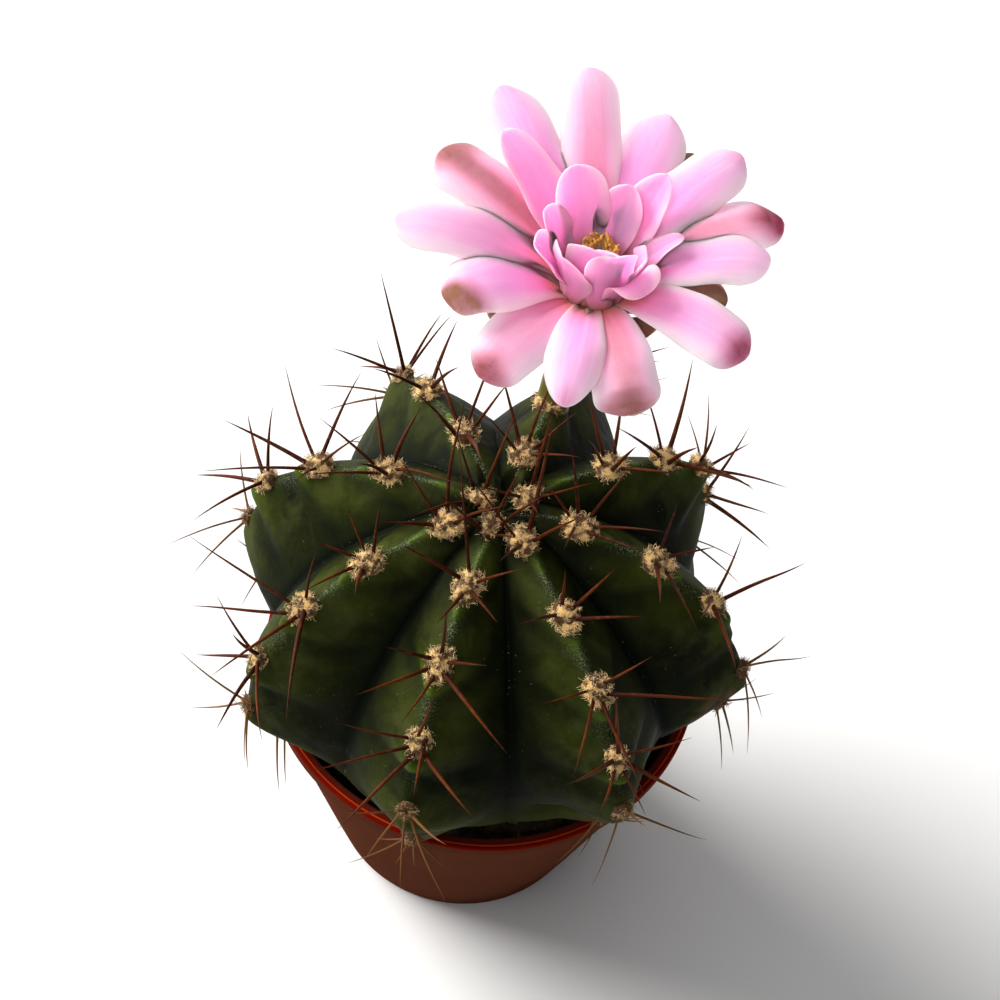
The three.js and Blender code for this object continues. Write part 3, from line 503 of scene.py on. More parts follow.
def placed(points, matrix):
    """Points taken from a local frame to the plant's, all in millimetres."""
    turned = np.array(matrix.to_3x3())
    return np.asarray(points, float) @ turned.T + np.array(matrix.to_translation())


def rough(points, size, seed=0.0):
    """Smooth noise of a feature size at each point, from -1 to 1."""
    shift = Vector((seed * 7.3, seed * 3.1, seed * 5.7))
    return np.array([noise.noise(Vector(point) / size + shift) for point in points])


def finish(piece, material, slot, *nodes):
    """Give a piece its material and its place in the frame."""
    piece.data.materials.clear()
    piece.data.materials.append(material)
    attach(piece, BODY)
    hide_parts(*nodes)


def grown(piece, tree, values):
    """Run a geometry tree on a piece with values for its inputs, and keep the result as its plain mesh."""
    modifier = piece.modifiers.new("grow", "NODES")
    modifier.node_group = tree
    for item in tree.interface.items_tree:
        if item.item_type == "SOCKET" and item.in_out == "INPUT" and item.name in values:
            modifier[item.identifier] = values[item.name]
    depsgraph = bpy.context.evaluated_depsgraph_get()
    mesh = bpy.data.meshes.new_from_object(piece.evaluated_get(depsgraph), depsgraph=depsgraph)
    piece.modifiers.remove(modifier)
    piece.data = mesh


def new_tree(name, **inputs):
    """A geometry tree with a geometry, the named inputs and a material, and the sockets that give them."""
    tree = bpy.data.node_groups.new(name, "GeometryNodeTree")
    tree.interface.new_socket("Geometry", in_out="INPUT", socket_type="NodeSocketGeometry")
    for key, kind in {**inputs, "Material": "Material"}.items():
        tree.interface.new_socket(key.replace("_", " "), in_out="INPUT", socket_type="NodeSocket" + kind)
    tree.interface.new_socket("Geometry", in_out="OUTPUT", socket_type="NodeSocketGeometry")
    given = add(tree, "NodeGroupInput").outputs
    return tree, given


def close_tree(tree, geometry, given):
    """End a geometry tree: smooth shading, real geometry and the material."""
    shaded = add(tree, "GeometryNodeSetShadeSmooth", {"Geometry": geometry})
    real = add(tree, "GeometryNodeRealizeInstances", {"Geometry": shaded})
    done = add(tree, "GeometryNodeSetMaterial", {"Geometry": real, "Material": given["Material"]})
    add(tree, "NodeGroupOutput", {"Geometry": done})
    return tree


def strand_tree():
    """Lines to tapered tubes; each line's points carry their radius."""
    tree, given = new_tree("tapered strands", Sides="Int")
    lines = add(tree, "GeometryNodeMeshToCurve", {"Mesh": given["Geometry"]})
    radius = add(tree, "GeometryNodeInputNamedAttribute", {"Name": "radius_m"}, data_type="FLOAT")
    circle = add(tree, "GeometryNodeCurvePrimitiveCircle", {"Resolution": given["Sides"], "Radius": 1.0})
    tubes = add(tree, "GeometryNodeCurveToMesh", {
        "Curve": lines, "Profile Curve": circle, "Scale": radius, "Fill Caps": True})
    return close_tree(tree, tubes, given)


def turned_tree():
    """A drawn outline turned round the Z axis, with round bores through the floor."""
    tree, given = new_tree(
        "turned wall", Sides="Int", Radius="Float", Bores="Int", Bore_Circle="Float", Bore_Radius="Float",
        Bore_Depth="Float")
    outline = add(tree, "GeometryNodeMeshToCurve", {"Mesh": given["Geometry"]})
    round_way = add(tree, "GeometryNodeCurvePrimitiveCircle", {
        "Resolution": given["Sides"], "Radius": given["Radius"]})
    wall = add(tree, "GeometryNodeCurveToMesh", {"Curve": round_way, "Profile Curve": outline})
    whole = add(tree, "GeometryNodeMergeByDistance", {"Geometry": wall, "Distance": 1e-6})
    circle = add(tree, "GeometryNodeMeshCircle", {"Vertices": given["Bores"], "Radius": given["Bore Circle"]})
    pin = add(tree, "GeometryNodeMeshCylinder", {
        "Vertices": 32, "Radius": given["Bore Radius"], "Depth": given["Bore Depth"]})
    pins = add(tree, "GeometryNodeInstanceOnPoints", {"Points": circle, "Instance": pin})
    turned = add(tree, "GeometryNodeTransform", {"Geometry": pins, "Rotation": (0, 0, math.pi / DRAIN_COUNT)})
    solid_pins = add(tree, "GeometryNodeRealizeInstances", {"Geometry": turned})
    bored = add(tree, "GeometryNodeMeshBoolean", {
        "Mesh 1": whole, "Mesh 2": solid_pins}, operation="DIFFERENCE", solver="EXACT")
    return close_tree(tree, bored, given)


def strewn(tree, given, where):
    """Random points on the surface, as many as Density says where an attribute is 1."""
    share = add(tree, "GeometryNodeInputNamedAttribute", {"Name": where}, data_type="FLOAT")
    density = add(tree, "ShaderNodeMath", {0: share, 1: given["Density"]}, operation="MULTIPLY")
    return add(tree, "GeometryNodeDistributePointsOnFaces", {
        "Mesh": given["Geometry"], "Density": density, "Seed": given["Seed"]}).outputs


def pushed(tree, copies, feature, detail, reach):
    """Real copies with each point moved by a cloud of noise of a feature size."""
    real = add(tree, "GeometryNodeRealizeInstances", {"Geometry": copies})
    place = add(tree, "GeometryNodeInputPosition")
    cloud = add(tree, "ShaderNodeTexNoise", {"Vector": place, "Scale": per(feature), "Detail": detail})
    centred = add(tree, "ShaderNodeVectorMath", {
        0: cloud.outputs["Color"], 1: (0.5, 0.5, 0.5)}, operation="SUBTRACT")
    push = add(tree, "ShaderNodeVectorMath", {0: centred, "Scale": reach}, operation="SCALE")
    return add(tree, "GeometryNodeSetPosition", {"Geometry": real, "Offset": push})


def wool_tree():
    """Short curled hairs that grow out of a surface, densest where it says so."""
    tree, given = new_tree(
        "woolly hairs", Density="Float", Hair_Length="Float", Hair_Radius="Float", Seed="Int")
    points = strewn(tree, given, "hairy")
    curl = add(tree, "GeometryNodeCurveSpiral", {
        "Resolution": 6, "Rotations": 0.7, "Start Radius": 0.05, "End Radius": 0.3, "Height": 1.0})
    sway = add(tree, "FunctionNodeRandomValue", {
        0: (-0.85, -0.85, -math.pi), 1: (0.85, 0.85, math.pi), "Seed": given["Seed"]},
        data_type="FLOAT_VECTOR")
    sway_turn = add(tree, "FunctionNodeEulerToRotation", {"Euler": sway})
    turn = add(tree, "FunctionNodeRotateRotation", {
        "Rotation": points["Rotation"], "Rotate By": sway_turn}, rotation_space="LOCAL")
    share = add(tree, "FunctionNodeRandomValue", {2: 0.5, 3: 1.25, "Seed": 3}, data_type="FLOAT")
    size = add(tree, "ShaderNodeMath", {0: share, 1: given["Hair Length"]}, operation="MULTIPLY")
    hairs = add(tree, "GeometryNodeInstanceOnPoints", {
        "Points": points["Points"], "Instance": curl, "Rotation": turn, "Scale": size})
    along = add(tree, "GeometryNodeSplineParameter")
    reach = add(tree, "ShaderNodeMath", {0: along, 1: 1.6 * MM}, operation="MULTIPLY")
    bent = pushed(tree, hairs, 1.1, 1.0, reach)
    taper = add(tree, "ShaderNodeMapRange", {"Value": along, "To Min": 1.0, "To Max": 0.35})
    circle = add(tree, "GeometryNodeCurvePrimitiveCircle", {"Resolution": 3, "Radius": given["Hair Radius"]})
    tubes = add(tree, "GeometryNodeCurveToMesh", {"Curve": bent, "Profile Curve": circle, "Scale": taper})
    return close_tree(tree, tubes, given)


def crumb_tree():
    """Angular crumbs strewn on a surface where it is its top."""
    tree, given = new_tree("strewn crumbs", Density="Float", Crumb="Float", Seed="Int")
    points = strewn(tree, given, "top")
    grain = add(tree, "GeometryNodeMeshIcoSphere", {"Radius": given["Crumb"], "Subdivisions": 2})
    turn, size = (
        add(tree, "FunctionNodeRandomValue", {0: low, 1: high, "Seed": seed}, data_type="FLOAT_VECTOR")
        for low, high, seed in (
            ((0, 0, 0), (math.tau, math.tau, math.tau), 5), ((0.2, 0.2, 0.15), (1.1, 0.9, 0.6), 9)))
    turned = add(tree, "FunctionNodeEulerToRotation", {"Euler": turn})
    grains = add(tree, "GeometryNodeInstanceOnPoints", {
        "Points": points["Points"], "Instance": grain, "Rotation": turned, "Scale": size})
    knobbly = pushed(tree, grains, 0.9, 2.0, 1.2 * MM)
    ground = add(tree, "GeometryNodeJoinGeometry")
    tree.links.new(knobbly.outputs[0], ground.inputs[0])
    tree.links.new(given["Geometry"], ground.inputs[0])
    return close_tree(tree, ground, given)


def copies_tree():
    """Copies of a shape on points that carry their turn and size."""
    tree, given = new_tree("placed copies", Shape="Object")
    shape = add(tree, "GeometryNodeObjectInfo", {"Object": given["Shape"]})
    turn, size = (add(tree, "GeometryNodeInputNamedAttribute", {"Name": name}, data_type="FLOAT_VECTOR")
                  for name in ("turn", "size"))
    turned = add(tree, "FunctionNodeEulerToRotation", {"Euler": turn})
    copied = add(tree, "GeometryNodeInstanceOnPoints", {
        "Points": given["Geometry"], "Instance": shape.outputs["Geometry"], "Rotation": turned,
        "Scale": size})
    return close_tree(tree, copied, given)


def copies(name, shape, places, turns, sizes, material):
    """One mesh of copies of a shape, whose own points are in metres for a size of 1."""
    piece = mesh_object(name, places, [])
    for key, rows in (("turn", turns), ("size", sizes)):
        attribute = piece.data.attributes.new(key, "FLOAT_VECTOR", "POINT")
        attribute.data.foreach_set("vector", np.asarray(rows, np.float32).ravel())
    grown(piece, copies_tree(), {"Shape": shape, "Material": material})
    bpy.data.objects.remove(shape)
    return piece


# Shapes of the stem

def stem_matrix():
    return Matrix.Translation(STEM_PLACE) @ Matrix.Rotation(-math.radians(STEM_LEAN), 4, "Y")


def head_matrix():
    return Matrix.Translation(HEAD_PLACE) @ Matrix.Rotation(math.radians(HEAD_TILT), 4, "X")


def profile(level):
    """Radius and height of the stem's outline at each level."""
    level = np.asarray(level, float)
    angle = np.radians(np.abs(np.maximum(level, NECK_LEVEL)))
    above = level > 0
    exponent = 2 / np.where(above, CROWN_POWER, UNDER_POWER)
    radius = BODY_RADIUS * power(np.cos(angle), exponent)
    height = np.where(above, CROWN_RISE, -UNDER_DROP) * power(np.sin(angle), exponent)
    root = np.radians(90 * np.clip((NECK_LEVEL - level) / (NECK_LEVEL + 90), 0, 1))
    return radius * power(np.cos(root), 0.8), height - ROOT_DROP * power(np.sin(root), 0.8)


def valley_share(level):
    """Share of the crest's radius that the valley between two ribs has."""
    upper = np.clip(0.84 - 0.0054 * level, 0.48, 0.84)
    return mix(upper, 0.97, smooth(-level, 25, -NECK_LEVEL))


def rib_size(rib, level):
    share, start, full = rib.get("tuck", (0, 0, -1))
    return rib["size"] - share * smooth(-level, -start, -full)


def knob(areoles, level):
    """Swelling below each areole and notch above it."""
    return sum(KNOB * (bump(level, areole - 5, 5) - 0.8 * bump(level, areole + 9, 5)) for areole in areoles)


def body_points(index, share, level, crest_round=0.0):
    """Points a share of the way from one rib's crest to the next, and how near each is to a crest."""
    rib, after = RIBS[index], RIBS[(index + 1) % len(RIBS)]
    share, level = np.broadcast_arrays(np.asarray(share, float), np.asarray(level, float))
    step = (after["azimuth"] - rib["azimuth"]) % 360
    half = math.radians(step / 2)
    nearer = share < 0.5
    away = np.radians(step * np.minimum(share, 1 - share))
    ease = math.radians(crest_round)
    eased = (np.hypot(away, ease) - ease) * half / (math.hypot(half, ease) - ease)
    radius, height = profile(level)
    sizes = rib_size(rib, level), rib_size(after, level)
    crest = radius * np.where(nearer, *sizes)
    fill = rib.get("fill", 0) * smooth(-level, 0, 25) * smooth(level, NECK_LEVEL, NECK_LEVEL + 10)
    valley = radius * sum(sizes) / 2 * (valley_share(level) + fill)
    flat = crest * valley * math.sin(half) / (crest * np.sin(eased) + valley * np.sin(half - eased))
    swell = FLANK_SWELL * (radius / BODY_RADIUS) * np.sin(math.pi * away / half)
    on_crest = power(1 - away / (0.5 * half), 2) * smooth(radius, 2, 20)
    lumps = np.where(nearer, knob(rib["areoles"], level), knob(after["areoles"], level))
    ends = np.where(nearer, rib.get("ends", RIB_ENDS), after.get("ends", RIB_ENDS))
    round_body = smooth(-level, ends, ends + 24) * smooth(away / half, 0.06, 0.5)
    reach = mix(flat + swell, valley, round_body) + lumps * on_crest
    azimuth = np.radians(rib["azimuth"] + step * share)
    sink = CROWN_SINK * power(1 - (radius / CROWN_WIDTH) ** 2, 2)
    points = np.stack([reach * np.cos(azimuth), reach * np.sin(azimuth), height - sink], -1)
    return points, 1 - away / half


def areole_frame(index, level):
    """Place of an areole and its directions out of the body, up along the crest and sideways."""
    levels = np.array([level - 1, level + 1])
    radius, height = profile(levels)
    radius = radius * rib_size(RIBS[index], levels)
    azimuth = math.radians(RIBS[index]["azimuth"])
    radial = np.array([math.cos(azimuth), math.sin(azimuth), 0])
    side = np.array([-math.sin(azimuth), math.cos(azimuth), 0])
    up = radial * (radius[1] - radius[0]) + [0, 0, height[1] - height[0]]
    up /= np.linalg.norm(up)
    return {"place": body_points(index, 0, level)[0], "out": np.cross(side, up), "up": up, "side": side}


def all_areoles():
    """Every areole with its rib, number, level and frame."""
    return [
        {"index": index, "number": number, "level": level, "seed": index * 10 + number,
         "flowering": (index, number) == FLOWER_AREOLE, **areole_frame(index, level)}
        for index, rib in enumerate(RIBS) for number, level in enumerate(rib["areoles"])
    ]


def oldness(areole):
    """How old and dry an areole is, from 0 to 1: those low on the stem are the oldest."""
    return float(smooth(-areole["level"], -20, 0))


def bezier(corners, share):
    """Points and unit tangents of a cubic curve at each share of the way."""
    a, b, c, d = (np.asarray(corner, float) for corner in corners)
    t = np.asarray(share, float)[:, None]
    points = a * (1 - t) ** 3 + 3 * b * t * (1 - t) ** 2 + 3 * c * t ** 2 * (1 - t) + d * t ** 3
    way = 3 * (b - a) * (1 - t) ** 2 + 6 * (c - b) * t * (1 - t) + 3 * (d - c) * t ** 2
    return points, way / np.linalg.norm(way, axis=1)[:, None]


def tube_corners():
    """Corners of the flower tube's curve in the head's frame: from its areole to the mouth."""
    areole = areole_frame(FLOWER_AREOLE[0], RIBS[FLOWER_AREOLE[0]]["areoles"][FLOWER_AREOLE[1]])
    to_head = head_matrix().inverted() @ stem_matrix()
    foot, leave = placed([
        areole["place"] - areole["out"] * TUBE_SINK,
        areole["place"] + areole["out"] * HANDLE["foot"]], to_head)
    return [foot, leave, (0, 0, -HANDLE["mouth"]), (0, 0, 0)]


def tube_radius(share):
    trunk = mix(TUBE_FOOT, TUBE_WAIST, share)
    return mix(trunk, TUBE_MOUTH, smooth(share, 0.5, 1.02) ** 1.3)


def wall_radius(height):
    return mix(BASE_RADIUS, RIM_RADIUS - LIP_PROUD, height / (POT_HEIGHT - LIP_HEIGHT))


# Shapes of the spines

def is_clear(point, tube_points, tube_keep):
    """Whether a point in the stem's frame is clear of the pot, the soil, the floor and the flower."""
    x, y, z = placed([point], stem_matrix())[0]
    radius, inside = math.hypot(x, y), wall_radius(z) - WALL
    by_rim = z < POT_HEIGHT + SPINE_KEEP["rim"] and radius < RIM_RADIUS + SPINE_KEEP["rim"]
    by_wall = by_rim and inside - SPINE_KEEP["wall"] < radius
    in_pot = z < SOIL_TOP + SPINE_KEEP["soil"] and radius <= inside
    if by_wall or in_pot or z < SPINE_KEEP["floor"]:
        return False
    in_head = placed([point], head_matrix().inverted() @ stem_matrix())[0]
    if in_head[2] > FLOWER_ROOM["low"] and math.hypot(in_head[0], in_head[1]) < FLOWER_ROOM["radius"]:
        return False
    return bool(np.all(np.linalg.norm(tube_points - in_head, axis=1) > tube_keep))


def spine_points(areole, start, around, lift, reach, shares):
    """Points along a spine that leaves its areole and bends back towards the body."""
    angle, rise = math.radians(around), math.radians(lift)
    along = areole["up"] * math.cos(angle) + areole["side"] * math.sin(angle)
    way = areole["out"] * math.sin(rise) + along * math.cos(rise)
    shares = np.asarray(shares)[:, None]
    return start + way * reach * shares - areole["out"] * SPINE["curl"] * reach * shares ** 2


def facet_start(areole, facet):
    """Middle of one of the six upper facets of an areole's tuft."""
    def corner(number):
        angle = (number - 0.5) / TUFT["sides"] * math.tau
        size = 1 + spread(areole["seed"], number, 0.1)
        return (areole["place"] + areole["side"] * math.sin(angle) * TUFT["width"] * size
                - areole["up"] * math.cos(angle) * TUFT["length"] * size
                + areole["out"] * TUFT["height"] * 0.35)
    top = areole["place"] + areole["out"] * TUFT["height"]
    return (corner(facet) + corner((facet + 1) % TUFT["sides"]) + top) / 3


def angle_between(first, second):
    return abs((first - second + 540) % 360 - 180)


def marked_by_facet(areole):
    """Marked spines of an areole by the facet that each one leaves."""
    by_facet = {}
    for spine in MARKED_SPINES.get((areole["index"], areole["number"]), []):
        free = [facet for facet in range(TUFT["sides"]) if facet not in by_facet]
        nearest = min(free, key=lambda facet: angle_between(spine[0], SPINE_AROUND[facet]))
        by_facet[nearest] = spine
    return by_facet


def spine_on(areole, facet, marked, tube_points, tube_keep):
    """Direction, lift and length of the spine on a facet of an areole, or None."""
    start = facet_start(areole, facet)

    def clear(spine):
        points = spine_points(areole, start, *spine, [0.5, 1])
        return all(is_clear(point, tube_points, tube_keep) for point in points)

    if facet in marked:
        return marked[facet] if clear(marked[facet]) else None
    crowded = any(
        angle_between(spine[0], SPINE_AROUND[facet]) < SPINE["between"] for spine in marked.values())
    draw = areole["seed"] * 10 + facet
    if crowded or chance(draw, 91) > SPINE_CHANCE[facet]:
        return None
    level = areole["level"]
    young, old = smooth(level, 45, 80), smooth(-level, -10, 25)
    for attempt in range(SPINE["tries"]):
        around = SPINE_AROUND[facet] + spread(draw, 3 * attempt, 14)
        lift = mix(34, 56, young) + spread(draw, 3 * attempt + 1, 13) + attempt * 2
        reach = SPINE_LENGTH[facet] * mix(1, 0.62, old) * (1 + spread(draw, 3 * attempt + 2, 0.28))
        if clear([around, lift, reach]):
            return [around, lift, reach]
    return None


def all_spines():
    """Every spine: its areole, its start and its direction, lift and length."""
    shares = np.linspace(0, 1, 11)
    tube_points, _ = bezier(tube_corners(), shares)
    tube_keep = tube_radius(shares) + SPINE_KEEP["tube"]
    found = []
    for areole in all_areoles():
        if areole["flowering"]:
            continue
        marked = marked_by_facet(areole)
        for facet in range(TUFT["sides"]):
            spine = spine_on(areole, facet, marked, tube_points, tube_keep)
            if spine is not None:
                found.append((areole, facet_start(areole, facet), spine, areole["seed"] * 10 + facet))
    return found


# Materials

def new_material(name, *attributes):
    """An empty material with its tree, the object's coordinates and the surface's named attributes."""
    material = bpy.data.materials.new(name)
    material.use_nodes = True
    tree = material.node_tree
    tree.nodes.clear()
    where = add(tree, "ShaderNodeTexCoord").outputs["Object"]
    near = {key: add(tree, "ShaderNodeAttribute", attribute_name=key).outputs["Fac"] for key in attributes}
    return material, tree, where, near


def close_material(material, ground, layers, relief, inputs, soft=None):
    """End a material and return it. Layers, each a share and a colour, lie over its ground colour. Each
    relief is a height, a strength and a depth in millimetres, and soft is the share, the reach of each colour
    and the depth of the light that goes through."""
    tree = material.node_tree
    for share, tint in layers:
        ground = add(tree, "ShaderNodeMix", {0: share, 6: ground, 7: tint}, data_type="RGBA")
    inputs = {"Base Color": ground, **inputs}
    if soft:
        weight, radius, depth = soft
        inputs.update({
            "Subsurface Weight": weight, "Subsurface Radius": radius, "Subsurface Scale": depth * MM})
    under = {}
    for height, strength, depth in relief:
        under = {"Normal": add(tree, "ShaderNodeBump", {
            "Height": height, "Strength": strength, "Distance": depth * MM, **under})}
    surface = add(tree, "ShaderNodeBsdfPrincipled", {**inputs, **under})
    add(tree, "ShaderNodeOutputMaterial", {"Surface": surface})
    return material


def polypropylene(settings):
    """Injection-moulded polypropylene: a satin brown wall with faint flow marks, redder at the thin rim where
    light shines through, with painted shade towards the rim's inner edge and a painted highlight line along
    its top.
    """
    material, tree, where, _ = new_material("moulded_polypropylene")
    flow, dust = (
        add(tree, "ShaderNodeTexNoise", {
            "Vector": where, "Scale": per(size), "Detail": detail, "Roughness": grit})
        for size, detail, grit in ((14, 5.0, 0.6), (0.8, 3.0, 0.7)))
    height = add(tree, "ShaderNodeSeparateXYZ", {"Vector": where}).outputs["Z"]
    flat_way = add(tree, "ShaderNodeVectorMath", {0: where, 1: (1, 1, 0)}, operation="MULTIPLY")
    radius = add(tree, "ShaderNodeVectorMath", {0: flat_way}, operation="LENGTH").outputs["Value"]
    top, outer, specks, shine = (
        add(tree, "ShaderNodeMapRange", {
            "Value": value, "From Min": low, "From Max": high, "To Min": least, "To Max": most})
        for value, low, high, least, most in (
            (height, (POT_HEIGHT - 0.8) * MM, (POT_HEIGHT - 0.4) * MM, 0.0, 1.0),
            (radius, (RIM_RADIUS - 1.9) * MM, (RIM_RADIUS - 1.0) * MM, 0.25, 1.0),
            (dust, 0.64, 0.78, 0.0, 0.3),
            (flow, 0.3, 0.7, 0.3, 0.44)))
    # Painted shade: the rim's red fades towards the lip's inner edge. Painted highlight: the thin orange line
    # near its outer edge.
    rim = add(tree, "ShaderNodeMath", {0: top, 1: outer}, operation="MULTIPLY")
    on_highlight_line = add(tree, "ShaderNodeMath", {
        0: radius, 1: (RIM_RADIUS - 0.75) * MM, 2: 0.15 * MM}, operation="COMPARE")
    highlight_and_dust_line = add(tree, "ShaderNodeMath", {0: top, 1: on_highlight_line}, operation="MULTIPLY")
    darker = add(tree, "ShaderNodeMix", {
        0: 0.35, 6: settings.wall_colour, 7: linear("#2a130c")}, data_type="RGBA")
    layers = (
        (flow, darker), (rim, settings.rim_colour), (highlight_and_dust_line, linear("#b8421a")), (specks, linear("#6c5a50")))
    return close_material(
        material, settings.wall_colour, layers, [(dust, 0.06, 0.2)],
        {"Roughness": shine, "IOR": 1.49, "Specular IOR Level": 0.0}, (0.12, (1.0, 0.25, 0.1), 1.5))


def peat(settings):
    """Peat and bark crumbs: matt and dark, with a few dry pale grains."""
    material, tree, where, _ = new_material("potting_peat")
    clumps = add(tree, "ShaderNodeTexNoise", {
        "Vector": where, "Scale": per(5), "Detail": 6.0, "Roughness": 0.7})
    grains = add(tree, "ShaderNodeTexVoronoi", {"Vector": where, "Scale": per(1.4)}).outputs["Color"]
    damp = add(tree, "ShaderNodeMapRange", {"Value": clumps, "From Min": 0.42, "From Max": 0.75})
    grain = add(tree, "ShaderNodeSeparateColor", {"Color": grains})
    pale = add(tree, "ShaderNodeMapRange", {
        "Value": grain, "From Min": 0.86, "From Max": 0.9, "To Max": 0.55})
    layers = (damp, settings.light_colour), (pale, linear("#8f7c62"))
    return close_material(material, settings.dark_colour, layers, [(clumps, 0.6, 0.5)], {"Roughness": 0.95})


def epidermis(settings):
    """Cactus skin: a waxy cuticle over soft flesh. It is satin, with fine pores, pale down on the young
    crests and specks of dust along the valleys."""
    material, tree, where, near = new_material("cactus_epidermis", "crest", "young", "frost", "cork", "shade")
    patches, streaks, fine, specks, rows = (
        add(tree, "ShaderNodeTexNoise", {
            "Vector": where, "Scale": per(size), "Detail": detail, "Roughness": grit, "Distortion": warp})
        for size, detail, grit, warp in (
            (15, 6.0, 0.62, 0.0), (5, 4.0, 0.6, 0.6), (0.26, 2.0, 0.6, 0.0), (0.5, 1.0, 0.5, 0.0),
            (6.5, 2.0, 0.5, 0.0)))
    pores = add(tree, "ShaderNodeTexVoronoi", {"Vector": where, "Scale": per(0.62)}).outputs["Distance"]
    corky = add(tree, "ShaderNodeMath", {0: near["cork"], 1: streaks}, operation="MULTIPLY")
    green, waxy, cork, down, dot, some_rows, in_valley, dust, shine = (
        add(tree, "ShaderNodeMapRange", {
            "Value": value, "From Min": low, "From Max": high, "To Min": least, "To Max": most})
        for value, low, high, least, most in (
            (patches, 0.36, 0.62, 0.0, 1.0), (streaks, 0.45, 0.8, 0.0, 0.5), (corky, 0.16, 0.42, 0.0, 1.0),
            (fine, 0.5, 0.6, 0.0, 1.0), (specks, 0.73, 0.78, 0.0, 1.0), (rows, 0.5, 0.68, 0.0, 0.5),
            (near["crest"], 0.02, 0.0, 0.0, 1.0), (specks, 0.62, 0.7, 0.0, 1.0),
            (streaks, 0.3, 0.7, 0.46, 0.64)))
    downy, dots, some = (
        add(tree, "ShaderNodeMath", {0: first, 1: second}, operation="MULTIPLY")
        for first, second in ((down, near["frost"]), (dot, some_rows), (dust, some_rows)))
    highlight_and_dust_line = add(tree, "ShaderNodeMath", {0: in_valley, 1: some}, operation="MULTIPLY")
    # The shade layer is painted shade: in the valleys, towards the crown and in the crease over each areole.
    layers = (
        (green, settings.green_colour), (waxy, settings.pale_colour), (near["shade"], linear("#070b05")),
        (near["young"], settings.young_colour), (cork, settings.cork_colour), (downy, settings.frost_colour),
        (dots, linear("#7f8670")), (highlight_and_dust_line, linear("#9aa08c")))
    return close_material(
        material, settings.dark_colour, layers, [(pores, 0.22, 0.12), (streaks, 0.3, 0.7)],
        {"Roughness": shine, "IOR": 1.4, "Specular IOR Level": 0.03}, (0.05, (0.5, 0.8, 0.2), 1.0))


def wool(settings):
    """Plant wool: matted fine hairs, cream with tawny patches and tawnier on old areoles, with painted shade
    on the felted cores in the tufts' depths, and no shine.
    """
    material, tree, where, near = new_material("areole_wool", "age_and_depth_shade")
    locks = add(tree, "ShaderNodeTexNoise", {"Vector": where, "Scale": per(1.3), "Detail": 3.0})
    tone = add(tree, "ShaderNodeMapRange", {"Value": locks, "From Min": 0.42, "From Max": 0.58})
    worn = add(tree, "ShaderNodeMath", {0: tone, 1: near["age_and_depth_shade"]}, operation="ADD", use_clamp=True)
    return close_material(
        material, settings.wool_colour, [(worn, settings.shade_colour)], [],
        {"Roughness": 0.9, "Sheen Weight": 0.1}, (0.25, (1.0, 0.8, 0.5), 0.8))


def spine_horn(settings):
    """Spines: dry woody horn, smooth and a little glossy, dark at the foot and at the point."""
    material, tree, where, near = new_material("spine_horn", "along", "tone", "dry")
    grain = add(tree, "ShaderNodeTexNoise", {"Vector": where, "Scale": per(0.9), "Detail": 3.0})
    rise, fall, flecks = (
        add(tree, "ShaderNodeMapRange", {"Value": value, "From Min": low, "From Max": high, "To Max": most})
        for value, low, high, most in (
            (near["along"], 0.0, 0.45, 1.0), (near["along"], 0.6, 1.0, 1.0), (grain, 0.5, 0.8, 0.35)))
    layers = (
        (rise, settings.middle_colour), (fall, settings.tip_colour), (near["tone"], linear("#2c1008")),
        (near["dry"], linear("#74522e")), (flecks, linear("#7c441e")))
    return close_material(
        material, settings.foot_colour, layers, [],
        {"Roughness": 0.45, "IOR": 1.5, "Specular IOR Level": 0.05})


